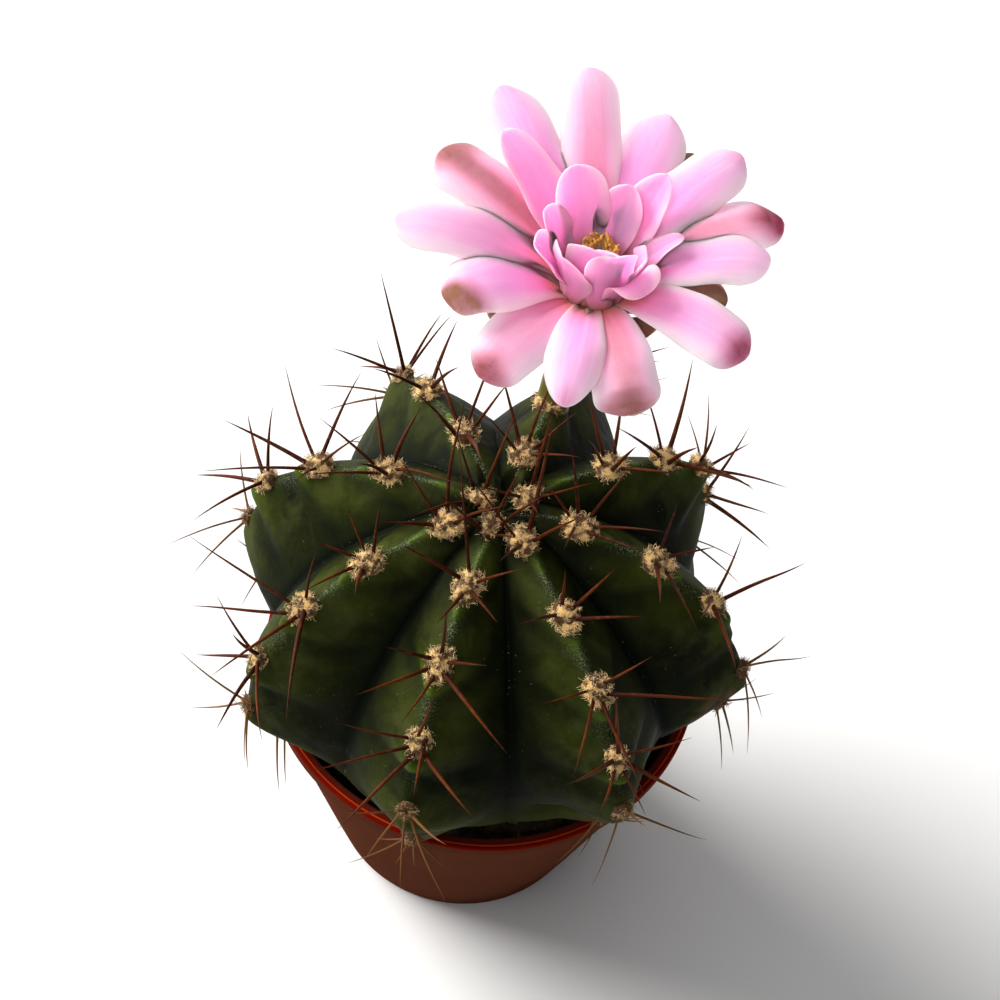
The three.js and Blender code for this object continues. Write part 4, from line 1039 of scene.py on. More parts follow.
def petal_tissue(settings):
    """Petal: thin juicy tissue with a satin face, pale at the edges, with fine veins and bruised tips."""
    material, tree, _, near = new_material(
        "petal_tissue", "across", "along", "stain", "olive", "warm", "stripe", "tone", "under")
    uv = add(tree, "ShaderNodeUVMap", uv_map="UVMap").outputs[0]
    long_way = add(tree, "ShaderNodeMapping", {"Vector": uv, "Scale": (1.0, 0.09, 1.0)})
    veins, mottle = (
        add(tree, "ShaderNodeTexNoise", {"Vector": way, "Scale": per(size), "Detail": 4.0, "Roughness": grit})
        for way, size, grit in ((long_way, 0.55, 0.65), (uv, 3.5, 0.6)))
    centre, throat, foot, band = (
        add(tree, "ShaderNodeMapRange", {
            "Value": near[key], "From Min": low, "From Max": high, "To Max": most},
            interpolation_type="SMOOTHSTEP")
        for key, low, high, most in (
            ("across", 1.05, 0.3, 1.0), ("along", 0.52, 0.05, 1.0), ("along", 0.32, 0.08, 0.72),
            ("across", 0.62, 0.12, 1.0)))
    fade, veined, uneven, blot = (
        add(tree, "ShaderNodeMapRange", {
            "Value": value, "From Min": low, "From Max": high, "To Min": least, "To Max": most})
        for value, low, high, least, most in (
            (near["along"], 0.5, 1.0, 1.0, 0.45), (veins, 0.3, 0.7, -0.16, 0.16),
            (mottle, 0.3, 0.7, 0.65, 0.9), (mottle, 0.25, 0.6, 0.82, 1.05)))
    inner_share, to_base, stripe, below = (
        add(tree, "ShaderNodeMath", {0: first, 1: second}, operation="MULTIPLY")
        for first, second in (
            (centre, fade), (throat, centre), (band, near["stripe"]), (near["under"], mottle)))
    pink_share = add(tree, "ShaderNodeMath", {0: inner_share, 1: veined}, operation="ADD", use_clamp=True)
    deeper = add(tree, "ShaderNodeMath", {0: pink_share, 1: near["tone"]}, operation="ADD", use_clamp=True)
    browned = add(tree, "ShaderNodeMath", {0: stripe, 1: uneven}, operation="MULTIPLY", use_clamp=True)
    stained = add(tree, "ShaderNodeMath", {0: near["stain"], 1: blot}, operation="MULTIPLY", use_clamp=True)
    middle, dried = (
        add(tree, "ShaderNodeMix", {0: share, 6: first, 7: second}, data_type="RGBA")
        for share, first, second in (
            (near["warm"], settings.middle_colour, settings.warm_colour),
            (near["olive"], settings.stain_colour, linear("#664c30"))))
    layers = (
        (deeper, middle), (to_base, settings.base_colour), (foot, linear("#b47c56")),
        (browned, linear("#88625c")), (stained, dried), (below, settings.olive_colour))
    return close_material(
        material, settings.edge_colour, layers, [(veins, 0.3, 0.14)],
        {"Roughness": 0.44, "IOR": 1.4, "Specular IOR Level": 0.04}, (0.9, (1.0, 0.6, 0.8), 3.6))


def sepal_tissue(settings):
    """Sepals and scales: thick tissue, olive to maroon brown, with a thin pale edge."""
    material, tree, where, near = new_material("sepal_tissue", "across", "along")
    mottle = add(tree, "ShaderNodeTexNoise", {
        "Vector": where, "Scale": per(2.2), "Detail": 5.0, "Roughness": 0.65})
    outer, rim = (
        add(tree, "ShaderNodeMapRange", {
            "Value": near[key], "From Min": low, "From Max": 1.0, "To Max": most})
        for key, low, most in (("along", 0.35, 0.5), ("across", 0.72, 0.8)))
    layers = (mottle, settings.olive_colour), (outer, settings.stain_colour), (rim, settings.scale_colour)
    return close_material(
        material, settings.tube_colour, layers, [(mottle, 0.3, 0.2)], {"Roughness": 0.5, "IOR": 1.42},
        (0.12, (0.8, 0.7, 0.3), 0.8))


def tube_flesh(settings):
    """Flesh of the flower tube: juicy green yellow with faint long ridges."""
    material, tree, where, _ = new_material("tube_flesh")
    mottle = add(tree, "ShaderNodeTexNoise", {
        "Vector": where, "Scale": per(3), "Detail": 4.0, "Roughness": 0.6})
    warm = add(tree, "ShaderNodeMapRange", {"Value": mottle, "From Min": 0.35, "From Max": 0.7})
    return close_material(
        material, settings.tube_colour, [(warm, linear("#644a14"))], [(mottle, 0.25, 0.3)],
        {"Roughness": 0.42, "IOR": 1.42}, (0.15, (0.8, 0.8, 0.2), 1.0))


def soft_tissue(name, tissue_colour, roughness):
    """Stamens and stigma: small soft parts, powdery where pollen lies on them in raised grains."""
    material, tree, where, _ = new_material(name)
    grains = add(tree, "ShaderNodeTexNoise", {"Vector": where, "Scale": per(0.3), "Detail": 3.0})
    tone = add(tree, "ShaderNodeMapRange", {"Value": grains, "From Min": 0.45, "From Max": 0.75})
    shade = [value * 0.45 for value in tissue_colour[:3]] + [1.0]
    return close_material(
        material, tissue_colour, [(tone, shade)], [(grains, 0.5, 0.1)], {"Roughness": roughness},
        (0.1, (0.8, 0.7, 0.3), 0.5))


def painted_board(settings):
    """Floor: a matt pale painted board, almost without grain."""
    material, tree, where, _ = new_material("painted_board")
    grain = add(tree, "ShaderNodeTexNoise", {"Vector": where, "Scale": per(30), "Detail": 3.0})
    tone = add(tree, "ShaderNodeMapRange", {"Value": grain, "To Max": 0.04})
    layers = [(tone, linear("#dcdcdc"))]
    return close_material(material, settings.floor_colour, layers, [], {"Roughness": 0.8})


# Pieces

def pot_outline(edge):
    """Closed outline of the pot's wall and floor as radius and height, from the middle of the underside."""
    foot, inner = POT_HEIGHT - LIP_HEIGHT, wall_radius(POT_HEIGHT - LIP_HEIGHT) - WALL
    foot_inside, foot_outside = (BASE_RADIUS - step for step in FOOT_RING)

    def arc(radius, height, start, end, steps=6):
        angles = np.radians(np.linspace(start, end, steps + 1))
        return [(radius + edge * math.cos(a), height + edge * math.sin(a)) for a in angles]

    start, end = foot - LEDGE, foot + LIP_BLEND
    flare = [(mix(wall_radius(height), RIM_RADIUS, smooth(height, start, end)), height)
             for height in np.linspace(start, end, 9)]
    low, high = FLOOR_ROUND
    return [
        (0, FOOT_RECESS), (FOOT_MIDDLE, FOOT_RECESS), (foot_inside - low, FOOT_RECESS),
        (foot_inside, 0), (foot_outside, 0),
        *arc(BASE_RADIUS - edge, edge, -85, -20, 4),
        (wall_radius(WALL_LOW), WALL_LOW), (wall_radius(WALL_HIGH), WALL_HIGH), *flare,
        *arc(RIM_RADIUS - edge, POT_HEIGHT - edge, 0, 90),
        *arc(inner + edge + 0.2, POT_HEIGHT - edge, 90, 180),
        (inner, foot), (wall_radius(WALL_HIGH) - WALL, WALL_HIGH),
        (wall_radius(FLOOR) - WALL - low, FLOOR + low), (wall_radius(FLOOR) - WALL - high, FLOOR), (0, FLOOR),
    ]


def make_pot(settings):
    """The pot's moulded shell, turned from its outline, with its drain holes."""
    middle = 20.0
    points = [(radius - middle, -height, 0) for radius, height in pot_outline(settings.edge / MM)]
    piece = strands_object("pot_shell", Matrix(), [(points, {})])
    material = polypropylene(settings)
    grown(piece, turned_tree(), {
        "Sides": settings.sides, "Radius": middle * MM, "Bores": DRAIN_COUNT,
        "Bore Circle": DRAIN_CIRCLE * MM, "Bore Radius": DRAIN_RADIUS * MM, "Bore Depth": 3 * FLOOR * MM,
        "Material": material})
    finish(piece, material, "pot_plastic", "pot")


def make_soil(settings):
    """The soil's uneven top with its crumbs, on a plain plug that fills the pot."""
    sides, rings = SOIL_SIDES, SOIL_RINGS
    rim = wall_radius(SOIL_TOP) - WALL - SOIL_GAP
    points = []
    for ring in range(rings):
        radius = rim * (1 - ring / rings)
        points += ring_points(radius, SOIL_TOP + SOIL_CROWN * (1 - (radius / rim) ** 2), sides)
    points = np.array(points)
    inward = 1 - smooth(np.hypot(points[:, 0], points[:, 1]), rim - 3, rim)
    points[:, 2] += (rough(points, 6.0) * 0.9 + rough(points, 2.2, 1) * 0.5) * inward - 0.5
    low = FLOOR + SOIL_GAP
    foot = ring_points(wall_radius(FLOOR) - WALL - 1, low, sides)
    whole = np.concatenate([foot, points, [(0, 0, low), (0, 0, SOIL_TOP + SOIL_CROWN - 0.5)]])
    top = np.concatenate([np.zeros(2 * sides), np.ones(len(points) - sides), [0, 1]])
    piece = mesh_object("potting_soil", whole, closed_faces(rings + 1, sides), values={"top": top})
    material = peat(settings)
    grown(piece, crumb_tree(), {
        "Density": settings.crumbs / 0.01 ** 2, "Crumb": settings.crumb, "Seed": 4, "Material": material})
    finish(piece, material, "potting_soil", "soil")


def make_stem(settings):
    """The stem's skin: ribs, chins and notches as in the frame, with folds and creases of its own."""
    columns = settings.columns
    levels = np.linspace(*SKIN_LEVELS, settings.rows)
    shares = np.linspace(0, 1, columns, endpoint=False)
    shares = shares + np.sin(shares * 4 * math.pi) * -0.025
    parts = [body_points(index, shares[None, :], levels[:, None], settings.crest_round)
             for index in range(len(RIBS))]
    points = np.concatenate([part[0] for part in parts], axis=1)
    crest = np.concatenate([part[1] for part in parts], axis=1)
    level = np.broadcast_to(levels[:, None], crest.shape)
    nearest = [[RIBS[(index + (share > 0.5)) % len(RIBS)]["areoles"] for share in shares]
               for index in range(len(RIBS))]
    nearest = [areoles for row in nearest for areoles in row]

    def by_areole(shift, width):
        return np.stack([sum(bump(levels, a + shift, width) for a in areoles) for areoles in nearest], axis=1)

    # Relief: a crease over each areole and a swelling under it, waves on the flanks, and folds
    away = np.hypot(points[..., 0], points[..., 1])
    radial = np.stack([points[..., 0], points[..., 1], np.zeros_like(away)], -1)
    radial = radial / np.maximum(away, 1e-6)[..., None]
    grown_part = smooth(away, 4, 18) * smooth(level, -70, -40)
    furrow = (-0.75 * by_areole(10, 2.6) * smooth(crest, 0.1, 0.8)
              + 0.6 * by_areole(-6, 3.5) * smooth(crest, 0.5, 1))
    wave = ((0.5 * by_areole(-5, 5) - 0.55 * by_areole(7, 4))
            * smooth(crest, 0.05, 0.5) * (1 - smooth(crest, 0.6, 1)))
    flat = points.reshape(-1, 3)
    folds = rough(flat, 11.0, 2) * 0.45 + rough(flat, 4.0, 3) * 0.14 + rough(flat, 1.5, 4) * 0.05
    relief = (furrow + wave + folds.reshape(away.shape)) * grown_part
    points = points + radial * relief[..., None]

    # What the colours follow: down on young crests, cork low down and on one patch, and painted shade in the
    #     # valleys, towards the crown and in the crease over each areole
    frost = (by_areole(7.5, 4.0) * power(crest, 12) * smooth(level, -5, 50)
             + smooth(level, 48, 66) * power(crest, 14) * 0.7)
    rows, around = crest.shape
    cork = bump(np.linalg.norm(points - body_points(*CORK_PLACE)[0], axis=-1), 0, CORK_RADIUS)
    dry = power(crest, 3) * smooth(-level, 2, 20) * 0.85
    values = {
        "crest": crest,
        "young": np.clip(by_areole(-7, 3.0) * power(crest, 9) * smooth(level, -12, 25), 0, 1) * 0.6,
        "frost": np.clip(frost * 0.75, 0, 1),
        "cork": np.clip(cork + dry, 0, 1),
        "shade": (smooth(1 - crest, 0.82, 1.0) * 0.25
                  + smooth(1 - crest, 0.25, 0.9) * 0.8 * smooth(level, -35, 5)
                  + smooth(level, 72, 88) * 0.2
                  + (np.clip(by_areole(9, 4.5) - 0.4 * by_areole(-3, 4), 0, 1)
                     * smooth(crest, 0.1, 0.5) * 0.5)),
    }
    root = np.array([0, 0, profile(-90)[1]])
    crown = np.array([0, 0, CROWN_RISE - CROWN_SINK])
    whole = np.concatenate([points.reshape(-1, 3), [root, crown]])
    numbers = {key: np.concatenate([field.ravel(), field[[0, -1], 0]]) for key, field in values.items()}
    piece = mesh_object(
        "cactus_skin", placed(whole, stem_matrix()), closed_faces(rows, around), values=numbers)
    finish(piece, epidermis(settings), "cactus_skin", "cactus_stem")


def tuft(areole):
    """Knobbly felt of one areole's wool: the points of its two lobes, and how hairy each of them is."""
    size = mix(1.0, WOOL_OLDEST, smooth(-areole["level"], -52, -4))
    size = size * (WOOL_FLOWERING if areole["flowering"] else 1.0)
    rises = np.radians(np.linspace(-50, 80, WOOL_RINGS))[:, None]
    angles = round_angles(WOOL_SIDES)[None, :]
    flat = np.cos(rises) * np.ones_like(angles)
    ways = np.stack([flat * np.cos(angles), flat * np.sin(angles), np.sin(rises) * np.ones_like(angles)], -1)
    ways = np.concatenate([ways.reshape(-1, 3), [(0, 0, -1), (0, 0, 1)]])
    lumps = 1 + 0.14 * rough(ways, 0.42, areole["seed"]) + 0.09 * rough(ways, 0.2, areole["seed"] + 0.5)
    lobes = []
    for shift, wide, tall in WOOL_LOBES:
        local = ways * lumps[:, None] * [
            TUFT["width"] * WOOL_CORE[0] * wide, TUFT["length"] * WOOL_CORE[1] * wide, TUFT["height"] * tall]
        local = (local + [spread(areole["seed"], 8, 0.3), shift, 0]) * size
        lobes.append(areole["place"] + local @ np.stack([areole["side"], areole["up"], areole["out"]]))
    return lobes, smooth(ways[:, 2], -0.3, 0.1)


def make_wool(settings):
    """The areoles' wool: a felted core for each, and curled hairs that stand out of it, in groups of ribs."""
    material = wool(settings)
    inputs = {"Density": settings.hairs / MM ** 2, "Hair Length": settings.hair_length,
              "Hair Radius": settings.hair_radius, "Seed": 11, "Material": material}
    faces = closed_faces(WOOL_RINGS, WOOL_SIDES)
    cores = []
    for group, ribs in enumerate(WOOL_GROUPS):
        parts = []
        for areole in all_areoles():
            if areole["index"] in ribs:
                lobes, hairy = tuft(areole)
                age_and_depth_shade = oldness(areole) * 0.7 + chance(areole["seed"], 5) * 0.1
                parts += [(lobe, faces, {"hairy": hairy, "age_and_depth_shade": [age_and_depth_shade] * len(lobe)}) for lobe in lobes]
        points, its_faces, values = joined(parts)
        points = placed(points, stem_matrix())
        # Painted shade: the cores under the hairs take more of the old wool's colour.
        cores.append((points, its_faces, {"age_and_depth_shade": np.array(values["age_and_depth_shade"]) + 0.3}))
        hairs = mesh_object(f"wool_hairs_{group + 1}", points, its_faces, values=values)
        grown(hairs, wool_tree(), inputs)
        finish(hairs, material, "cactus_skin", "cactus_stem")
    points, its_faces, values = joined(cores)
    piece = mesh_object("wool_cores", points, its_faces, values=values)
    finish(piece, material, "cactus_skin", "cactus_stem")


def make_spines(settings):
    """The spines as tapered, slightly wavering tubes on the frame's own paths."""
    shares = np.linspace(-0.12, 1, settings.steps + 1)
    thin = np.clip(shares, 0, 1)
    strands = []
    for areole, start, spine, draw in all_spines():
        path = spine_points(areole, start, *spine, shares)
        waver = np.sin(shares * math.pi * (1.2 + 0.6 * chance(draw, 21)))
        waver = waver * spread(draw, 22, 0.0009) * spine[2] ** 2
        path = path + np.outer(waver, areole["side"]) + np.outer(waver * spread(draw, 23, 1), areole["up"])
        old = oldness(areole)
        foot = settings.radius * mix(0.6, 1.0, chance(draw, 24)) * mix(0.7, 1.1, min(spine[2] / 20, 1))
        foot *= mix(1, 0.6, old)
        young = 0.3 * smooth(areole["level"], 35, 70)
        strands.append((path, {
            "radius_m": foot * (1 + 0.18 * bump(shares, -0.02, 0.06)) * mix(1, 0.05, thin ** 1.7),
            "along": thin,
            "tone": [min(1, 0.1 + young + 0.7 * chance(draw, 25) ** 2)] * len(shares),
            "dry": [old * 0.85] * len(shares)}))
    piece = strands_object("spines", stem_matrix(), strands)
    material = spine_horn(settings)
    grown(piece, strand_tree(), {"Sides": settings.sides, "Material": material})
    finish(piece, material, "cactus_skin", "cactus_stem")


def blade(petal, root, cupping, thickness, wave, seed):
    """Closed blade on a petal's own curve: points, faces, and values for each point."""
    angle = math.radians(petal["azimuth"])
    radial = np.array([math.cos(angle), math.sin(angle), 0])
    side = np.array([math.sin(angle), -math.cos(angle), 0])
    reach, rise = petal["reach"], petal["rise"]
    pull = math.hypot(reach - root[0], rise - root[1]) * PETAL_PULL
    leave, arrive = math.radians(petal["leave"]), math.radians(petal["arrive"])
    corners = [radial * r + [0, 0, z] for r, z in (
        root,
        (root[0] + pull * math.cos(leave), root[1] + pull * math.sin(leave)),
        (reach - pull * math.cos(arrive), rise - pull * math.sin(arrive)),
        (reach, rise))]
    taper = petal.get("taper", 0)
    tip_at = mix(PETAL_TIP, TAPER_TIP, taper)
    body = np.linspace(0, tip_at, BLADE_STEPS["body"])
    tip = tip_at + (1 - tip_at) * np.sin(np.radians(np.linspace(0, 84, BLADE_STEPS["tip"])[1:]))
    shares = np.concatenate([body, tip])
    across = np.sin(np.radians(np.linspace(-90, 90, BLADE_STEPS["across"])))
    middle, way = bezier(corners, shares)
    face = np.cross(side, way)
    face /= np.linalg.norm(face, axis=1)[:, None]
    shape = mix(PETAL_WAIST, 1, smooth(shares, 0, PETAL_FULL))
    rounding = power((shares - tip_at) / (1 - tip_at), mix(2.8, 1.7, taper))
    half = petal["width"] / 2 * shape * np.sqrt(1 - rounding)
    half *= 1 + 0.03 * np.sin(shares * 9 + seed)

    # Relief on the middle surface: a waving edge, three grooves, and a tip that droops or folds down
    t, s = across[None, :], shares[:, None]
    edge = np.abs(t) ** 3
    waves = np.sin(s * (11 + 5 * chance(seed, 1)) + np.sign(t) * 1.3 + seed)
    ripple = wave * smooth(s, 0.15, 0.6) * edge * waves
    groove = -0.22 * bump(t, 0, 0.13) * (1 - 0.5 * s) - 0.07 * (bump(t, 0.45, 0.12) + bump(t, -0.45, 0.12))
    droop = -0.5 * smooth(s, 0.86, 1.0) * (petal.get("stain", 0) + 0.3)
    fold = petal.get("fold", 0) * (1.5 * smooth(s, 0.8, 0.98) - 0.35 * bump(s, 0.8, 0.03))
    droop = droop - fold * (1 - 0.4 * t ** 2)
    sway = chance(seed, 2) - 0.5
    lift = cupping(s) * t ** 2 * half[:, None] * (1 + 0.15 * np.sign(t) * sway) + ripple + groove + droop
    thick = thickness * (1 - 0.35 * s) * np.sqrt(np.maximum(1 - t ** 4, 0))
    thick = thick * np.minimum(1, half[:, None] / 1.2) / 2
    flat = middle[:, None, :] + side * (t * half[:, None])[..., None]
    upper = flat + face[:, None, :] * (lift + thick)[..., None]
    lower = flat + face[:, None, :] * (lift - thick)[..., None]
    rings = np.concatenate([upper, lower[:, -2:0:-1]], axis=1)

    # What the colours follow, for each point of the rings
    rows, sides = rings.shape[:2]
    t_ring = np.concatenate([across, across[-2:0:-1]])
    under = np.concatenate([np.zeros(len(across)), np.ones(len(across) - 2)])
    wide = np.broadcast_to(t_ring, (rows, sides))
    far = np.broadcast_to(shares[:, None], (rows, sides))
    stain = petal.get("stain", 0)
    leaning = far + 0.10 * (1 - np.abs(wide)) * np.sign(stain) + petal.get("lean", 0) * wide
    spot = smooth(leaning, 1.06 - 0.26 * stain ** 0.5, 1.12 - 0.12 * stain)
    fields = {
        "across": np.abs(wide),
        "along": far,
        "stain": spot * min(1, stain * 1.25),
        **{key: np.full_like(far, petal.get(key, 0)) for key in ("olive", "warm")},
        "stripe": petal.get("stripe", 0) * smooth(far, 0.05, 0.3) * (1 - smooth(far, 0.8, 1)),
        "tone": np.full_like(far, petal.get("tone", 0) + spread(seed, 3, 0.1)),
        "under": (np.broadcast_to(under, far.shape) * petal.get("under", 0.3)
                  * smooth(1 - np.abs(wide), 0.0, 0.7)),
    }

    # A point closes each end, and the UV map holds millimetres across and along
    tip_step = way[-1] * np.linalg.norm(middle[-1] - middle[-2]) * 0.3
    ends = [middle[0], middle[-1] + tip_step + face[-1] * lift[-1, len(across) // 2]]
    points = np.concatenate([rings.reshape(-1, 3), ends])
    run = float(np.linalg.norm(np.diff(middle, axis=0), axis=1).sum())
    uv = np.stack([wide * half[:, None] + seed * 15, far * run], -1).reshape(-1, 2)
    uv = np.concatenate([uv, uv[[0, -1]]])
    numbers = {key: np.concatenate([field.ravel(), field.ravel()[[0, -1]]]) for key, field in fields.items()}
    return points, closed_faces(rows, sides), numbers, uv


def blades_object(name, blades):
    """One mesh of several blades, with a UV map in metres that runs along each of them."""
    points, faces, values = joined([blade_parts[:3] for blade_parts in blades])
    uvs = np.concatenate([blade_parts[3] for blade_parts in blades])
    piece = mesh_object(name, placed(points, head_matrix()), faces, values=values)
    layer = piece.data.uv_layers.new(name="UVMap")
    corners = np.zeros(len(piece.data.loops), np.int32)
    piece.data.loops.foreach_get("vertex_index", corners)
    layer.data.foreach_set("uv", (uvs[corners] * MM).astype(np.float32).ravel())
    return piece


def make_blades(name, table, root, cupping, thickness, wave, seed, marks, *worn):
    """One layer of petals or sepals from its table; marks hold for all of them, and worn is as for finish."""
    rows = [{**marks, **dict(zip(BLADE_SIZES, row)), **row[-1]} for row in table]
    blades = [blade(row, (row.get("root", root[0]), root[1]), cupping, thickness, wave, number + seed)
              for number, row in enumerate(rows)]
    finish(blades_object(name, blades), *worn)


def make_petals(settings):
    """Both layers of petals, and the throat that carries them."""
    thickness, wave = settings.petal_thickness / MM, settings.edge_wave / MM
    worn = petal_tissue(settings), "petal", "flower_petals"
    make_blades("outer_petals", OUTER_PETALS, OUTER_ROOT, lambda s: mix(0.3, -0.34, smooth(s, 0, 0.7)),
                thickness, wave, 1, {"leave": 52}, *worn)
    make_blades("inner_petals", INNER_PETALS, INNER_ROOT, lambda s: mix(0.3, 0.28, s),
                thickness * 0.85, wave * 1.2, 31, {"tone": 0.45, "under": 0.0}, *worn)
    sides = THROAT_SIDES
    mouth, low = CUP_MOUTH - CUP_WALL, -CUP_DEPTH + CUP_WALL
    outline = [(CUP_FOOT, -CUP_DEPTH), *CUP_OUTSIDE, (CUP_MOUTH, CUP_LEDGE), (CUP_MOUTH, CUP_TOP - 0.4),
               (CUP_MOUTH - 0.3, CUP_TOP), (mouth + 0.2, CUP_TOP), (mouth, CUP_TOP - 0.5),
               (mouth, CUP_LEDGE), *CUP_INSIDE, (CUP_FOOT - CUP_WALL, low)]
    points = []
    for radius, height in outline:
        for a in round_angles(sides):
            fluted = radius * (1 + 0.03 * math.sin(THROAT_FLUTES * a))
            points.append((fluted * math.cos(a), fluted * math.sin(a), height))
    points += [(0, 0, -CUP_DEPTH), (0, 0, low)]
    marks = {"across": 0.2, "along": 0.1, "tone": 0.1, "stain": 0, "olive": 0, "warm": 0, "stripe": 0,
             "under": 0}
    values = {key: np.full(len(points), mark) for key, mark in marks.items()}
    throat = mesh_object(
        "throat", placed(points, head_matrix()), closed_faces(len(outline), sides), values=values)
    finish(throat, *worn)


def make_sepals(settings):
    """The brownish sepals under the petals."""
    thickness, wave = settings.petal_thickness / MM * 1.1, settings.edge_wave / MM * 0.6
    make_blades("sepals", SEPALS, SEPAL_ROOT, lambda s: mix(0.2, -0.25, s), thickness, wave, 61,
                {"leave": 28}, sepal_tissue(settings), "flower_scales", "flower_tube")


def tube_frames(shares):
    """Centres, directions and two cross directions along the flower tube, in the head's frame."""
    centres, ways = bezier(tube_corners(), shares)
    across = np.cross([1.0, 0, 0], ways)
    across /= np.linalg.norm(across, axis=1)[:, None]
    return centres, ways, across, np.cross(ways, across)


def scale_shape():
    """A fleshy pointed scale 1 wide, 1 thick and 1 long, along +Z with its back towards +Y, in metres."""
    rows, sides = 9, 12
    points, across, along = [], [], []
    for share in np.arange(rows) / rows:
        half = 0.5 * (0.75 + 0.25 * smooth(share, 0, 0.3)) * math.sqrt(1 - share ** 2.4)
        points += [(half * math.cos(a), 0.55 * share ** 1.5 + 0.28 * half * 2 * math.sin(a), share)
                   for a in round_angles(sides)]
        across += [abs(math.cos(a)) for a in round_angles(sides)]
        along += [0.2 + 0.6 * share] * sides
    points += [(0, 0, 0), (0, 0.62, 1.0)]
    return mesh_object("scale_shape", np.array(points) / MM, closed_faces(rows, sides),
                       values={"across": across + [0, 0], "along": along + [0.2, 0.85]})


def make_tube(settings):
    """The flower tube with its overlapping scales."""
    shares = np.linspace(0, 1, TUBE_ROWS)
    centres, _, across, other = tube_frames(shares)
    angles = round_angles(TUBE_SIDES)
    ridges = 1 + 0.02 * np.sin(angles * 8)[None, :] * smooth(shares, 0.1, 0.5)[:, None]
    radius = tube_radius(shares)[:, None] * ridges
    points = (centres[:, None, :] + across[:, None, :] * (radius * np.cos(angles))[..., None]
              + other[:, None, :] * (radius * np.sin(angles))[..., None])
    whole = np.concatenate([points.reshape(-1, 3), [centres[0], centres[-1] - [0, 0, 3]]])
    tube = mesh_object("flower_tube_skin", placed(whole, head_matrix()), closed_faces(TUBE_ROWS, TUBE_SIDES))
    finish(tube, tube_flesh(settings), "flower_scales", "flower_tube")

    places, turns, sizes = [], [], []
    for index in range(SCALE_COUNT):
        share = mix(SCALE["lowest"], SCALE["highest"], index / (SCALE_COUNT - 1))
        centre, way, ray, _ = (rows[0] for rows in tube_frames([share]))
        out = np.array(Matrix.Rotation(math.radians(index * GOLDEN_ANGLE), 3, Vector(way)) @ Vector(ray))
        seat = centre + out * tube_radius(share)
        further = bezier(tube_corners(), [share + 0.04])[0][0] + out * tube_radius(share + 0.04)
        lie = (further - seat) / np.linalg.norm(further - seat)
        side = np.cross(out, lie) / np.linalg.norm(np.cross(out, lie))
        basis = Matrix(np.stack([side, np.cross(lie, side), lie], axis=1).tolist())
        places.append(seat - out * 0.2)
        turns.append((head_matrix().to_3x3() @ basis).to_euler("XYZ"))
        sizes.append([size * MM for size in (
            mix(*SCALE["width"], share), SCALE["thickness"], mix(*SCALE["length"], share))])
    material = sepal_tissue(settings)
    scales = copies("tube_scales", scale_shape(), placed(places, head_matrix()), turns, sizes, material)
    finish(scales, material, "flower_scales", "flower_tube")


def ball_shape(name, long, notch):
    """A closed rounded lump along Z in metres, with a groove down its front."""
    rows, sides = 7, 12
    points = []
    for rise in np.radians(np.linspace(-66, 66, rows)):
        for angle in round_angles(sides):
            flat = math.cos(rise) * (1 - notch * math.exp(-((math.cos(angle) - 1) / 0.3) ** 2))
            points.append((flat * math.cos(angle), flat * math.sin(angle), long * math.sin(rise)))
    points += [(0, 0, -long), (0, 0, long)]
    return mesh_object(name, np.array(points) / MM, closed_faces(rows, sides))


def make_stamens(settings):
    """Filaments that rise from the collar, each with its anther."""
    count = settings.filaments
    shares = np.linspace(0, 1, 9)
    strands, places, turns = [], [], []
    for index in range(count):
        angle = math.radians(index * GOLDEN_ANGLE)
        top = ANTHER_HEIGHT - 0.2 + spread(index, 7, 0.75)
        radial = np.array([math.cos(angle), math.sin(angle), 0])
        reach = mix(0.9, ANTHER_SPREAD - 0.6, math.sqrt((index + 0.5) / count))
        corners = [radial * away + [0, 0, height] for away, height in (
            (COLLAR_RADIUS - 0.7, COLLAR_HEIGHT - 0.8), (COLLAR_RADIUS + 0.4, 1.0),
            (reach + spread(index, 8, 0.5), top - 4), (reach, top))]
        path, _ = bezier(corners, shares)
        strands.append((path, {"radius_m": [FILAMENT_RADIUS * MM] * len(shares)}))
        places.append(path[-1])
        turns.append((spread(index, 9, 0.9), spread(index, 10, 0.9), angle))
    stalk = soft_tissue("filament_tissue", settings.stigma_colour, 0.5)
    lines = strands_object("filaments", head_matrix(), strands)
    grown(lines, strand_tree(), {"Sides": 6, "Material": stalk})
    finish(lines, stalk, "pollen", "flower_stamens")
    dusty = soft_tissue("pollen_dust", settings.pollen_colour, 0.85)
    sizes = [[size * MM for size in ANTHER_SIZE]] * count
    anthers = copies(
        "anthers", ball_shape("anther_shape", 1.5, 0.3), placed(places, head_matrix()), turns, sizes, dusty)
    finish(anthers, dusty, "pollen", "flower_stamens")


def make_style(settings):
    """The style with the lobes of its stigma."""
    heights = np.linspace(-CUP_DEPTH + CUP_WALL + 0.35, STYLE_TOP - 0.9, 12)
    radii = [STYLE_RADIUS * MM] * 10 + [STYLE_RADIUS * 1.3 * MM, STYLE_RADIUS * 1.5 * MM]
    strands = [([(0, 0, height) for height in heights], {"radius_m": radii})]
    shares = np.arange(6) / 5
    reaches = 0.25 + LOBE_REACH * np.sin(shares * 1.9)
    for angle in round_angles(settings.lobes):
        path = [(reach * math.cos(angle), reach * math.sin(angle), STYLE_TOP - 1.3 + LOBE_RISE * share)
                for reach, share in zip(reaches, shares)]
        strands.append((path, {"radius_m": mix(0.3, 0.16, shares) * MM}))
    material = soft_tissue("stigma_tissue", settings.stigma_colour, 0.6)
    piece = strands_object("style_and_stigma", head_matrix(), strands)
    grown(piece, strand_tree(), {"Sides": 12, "Material": material})
    finish(piece, material, "stigma", "flower_style")


# Stage

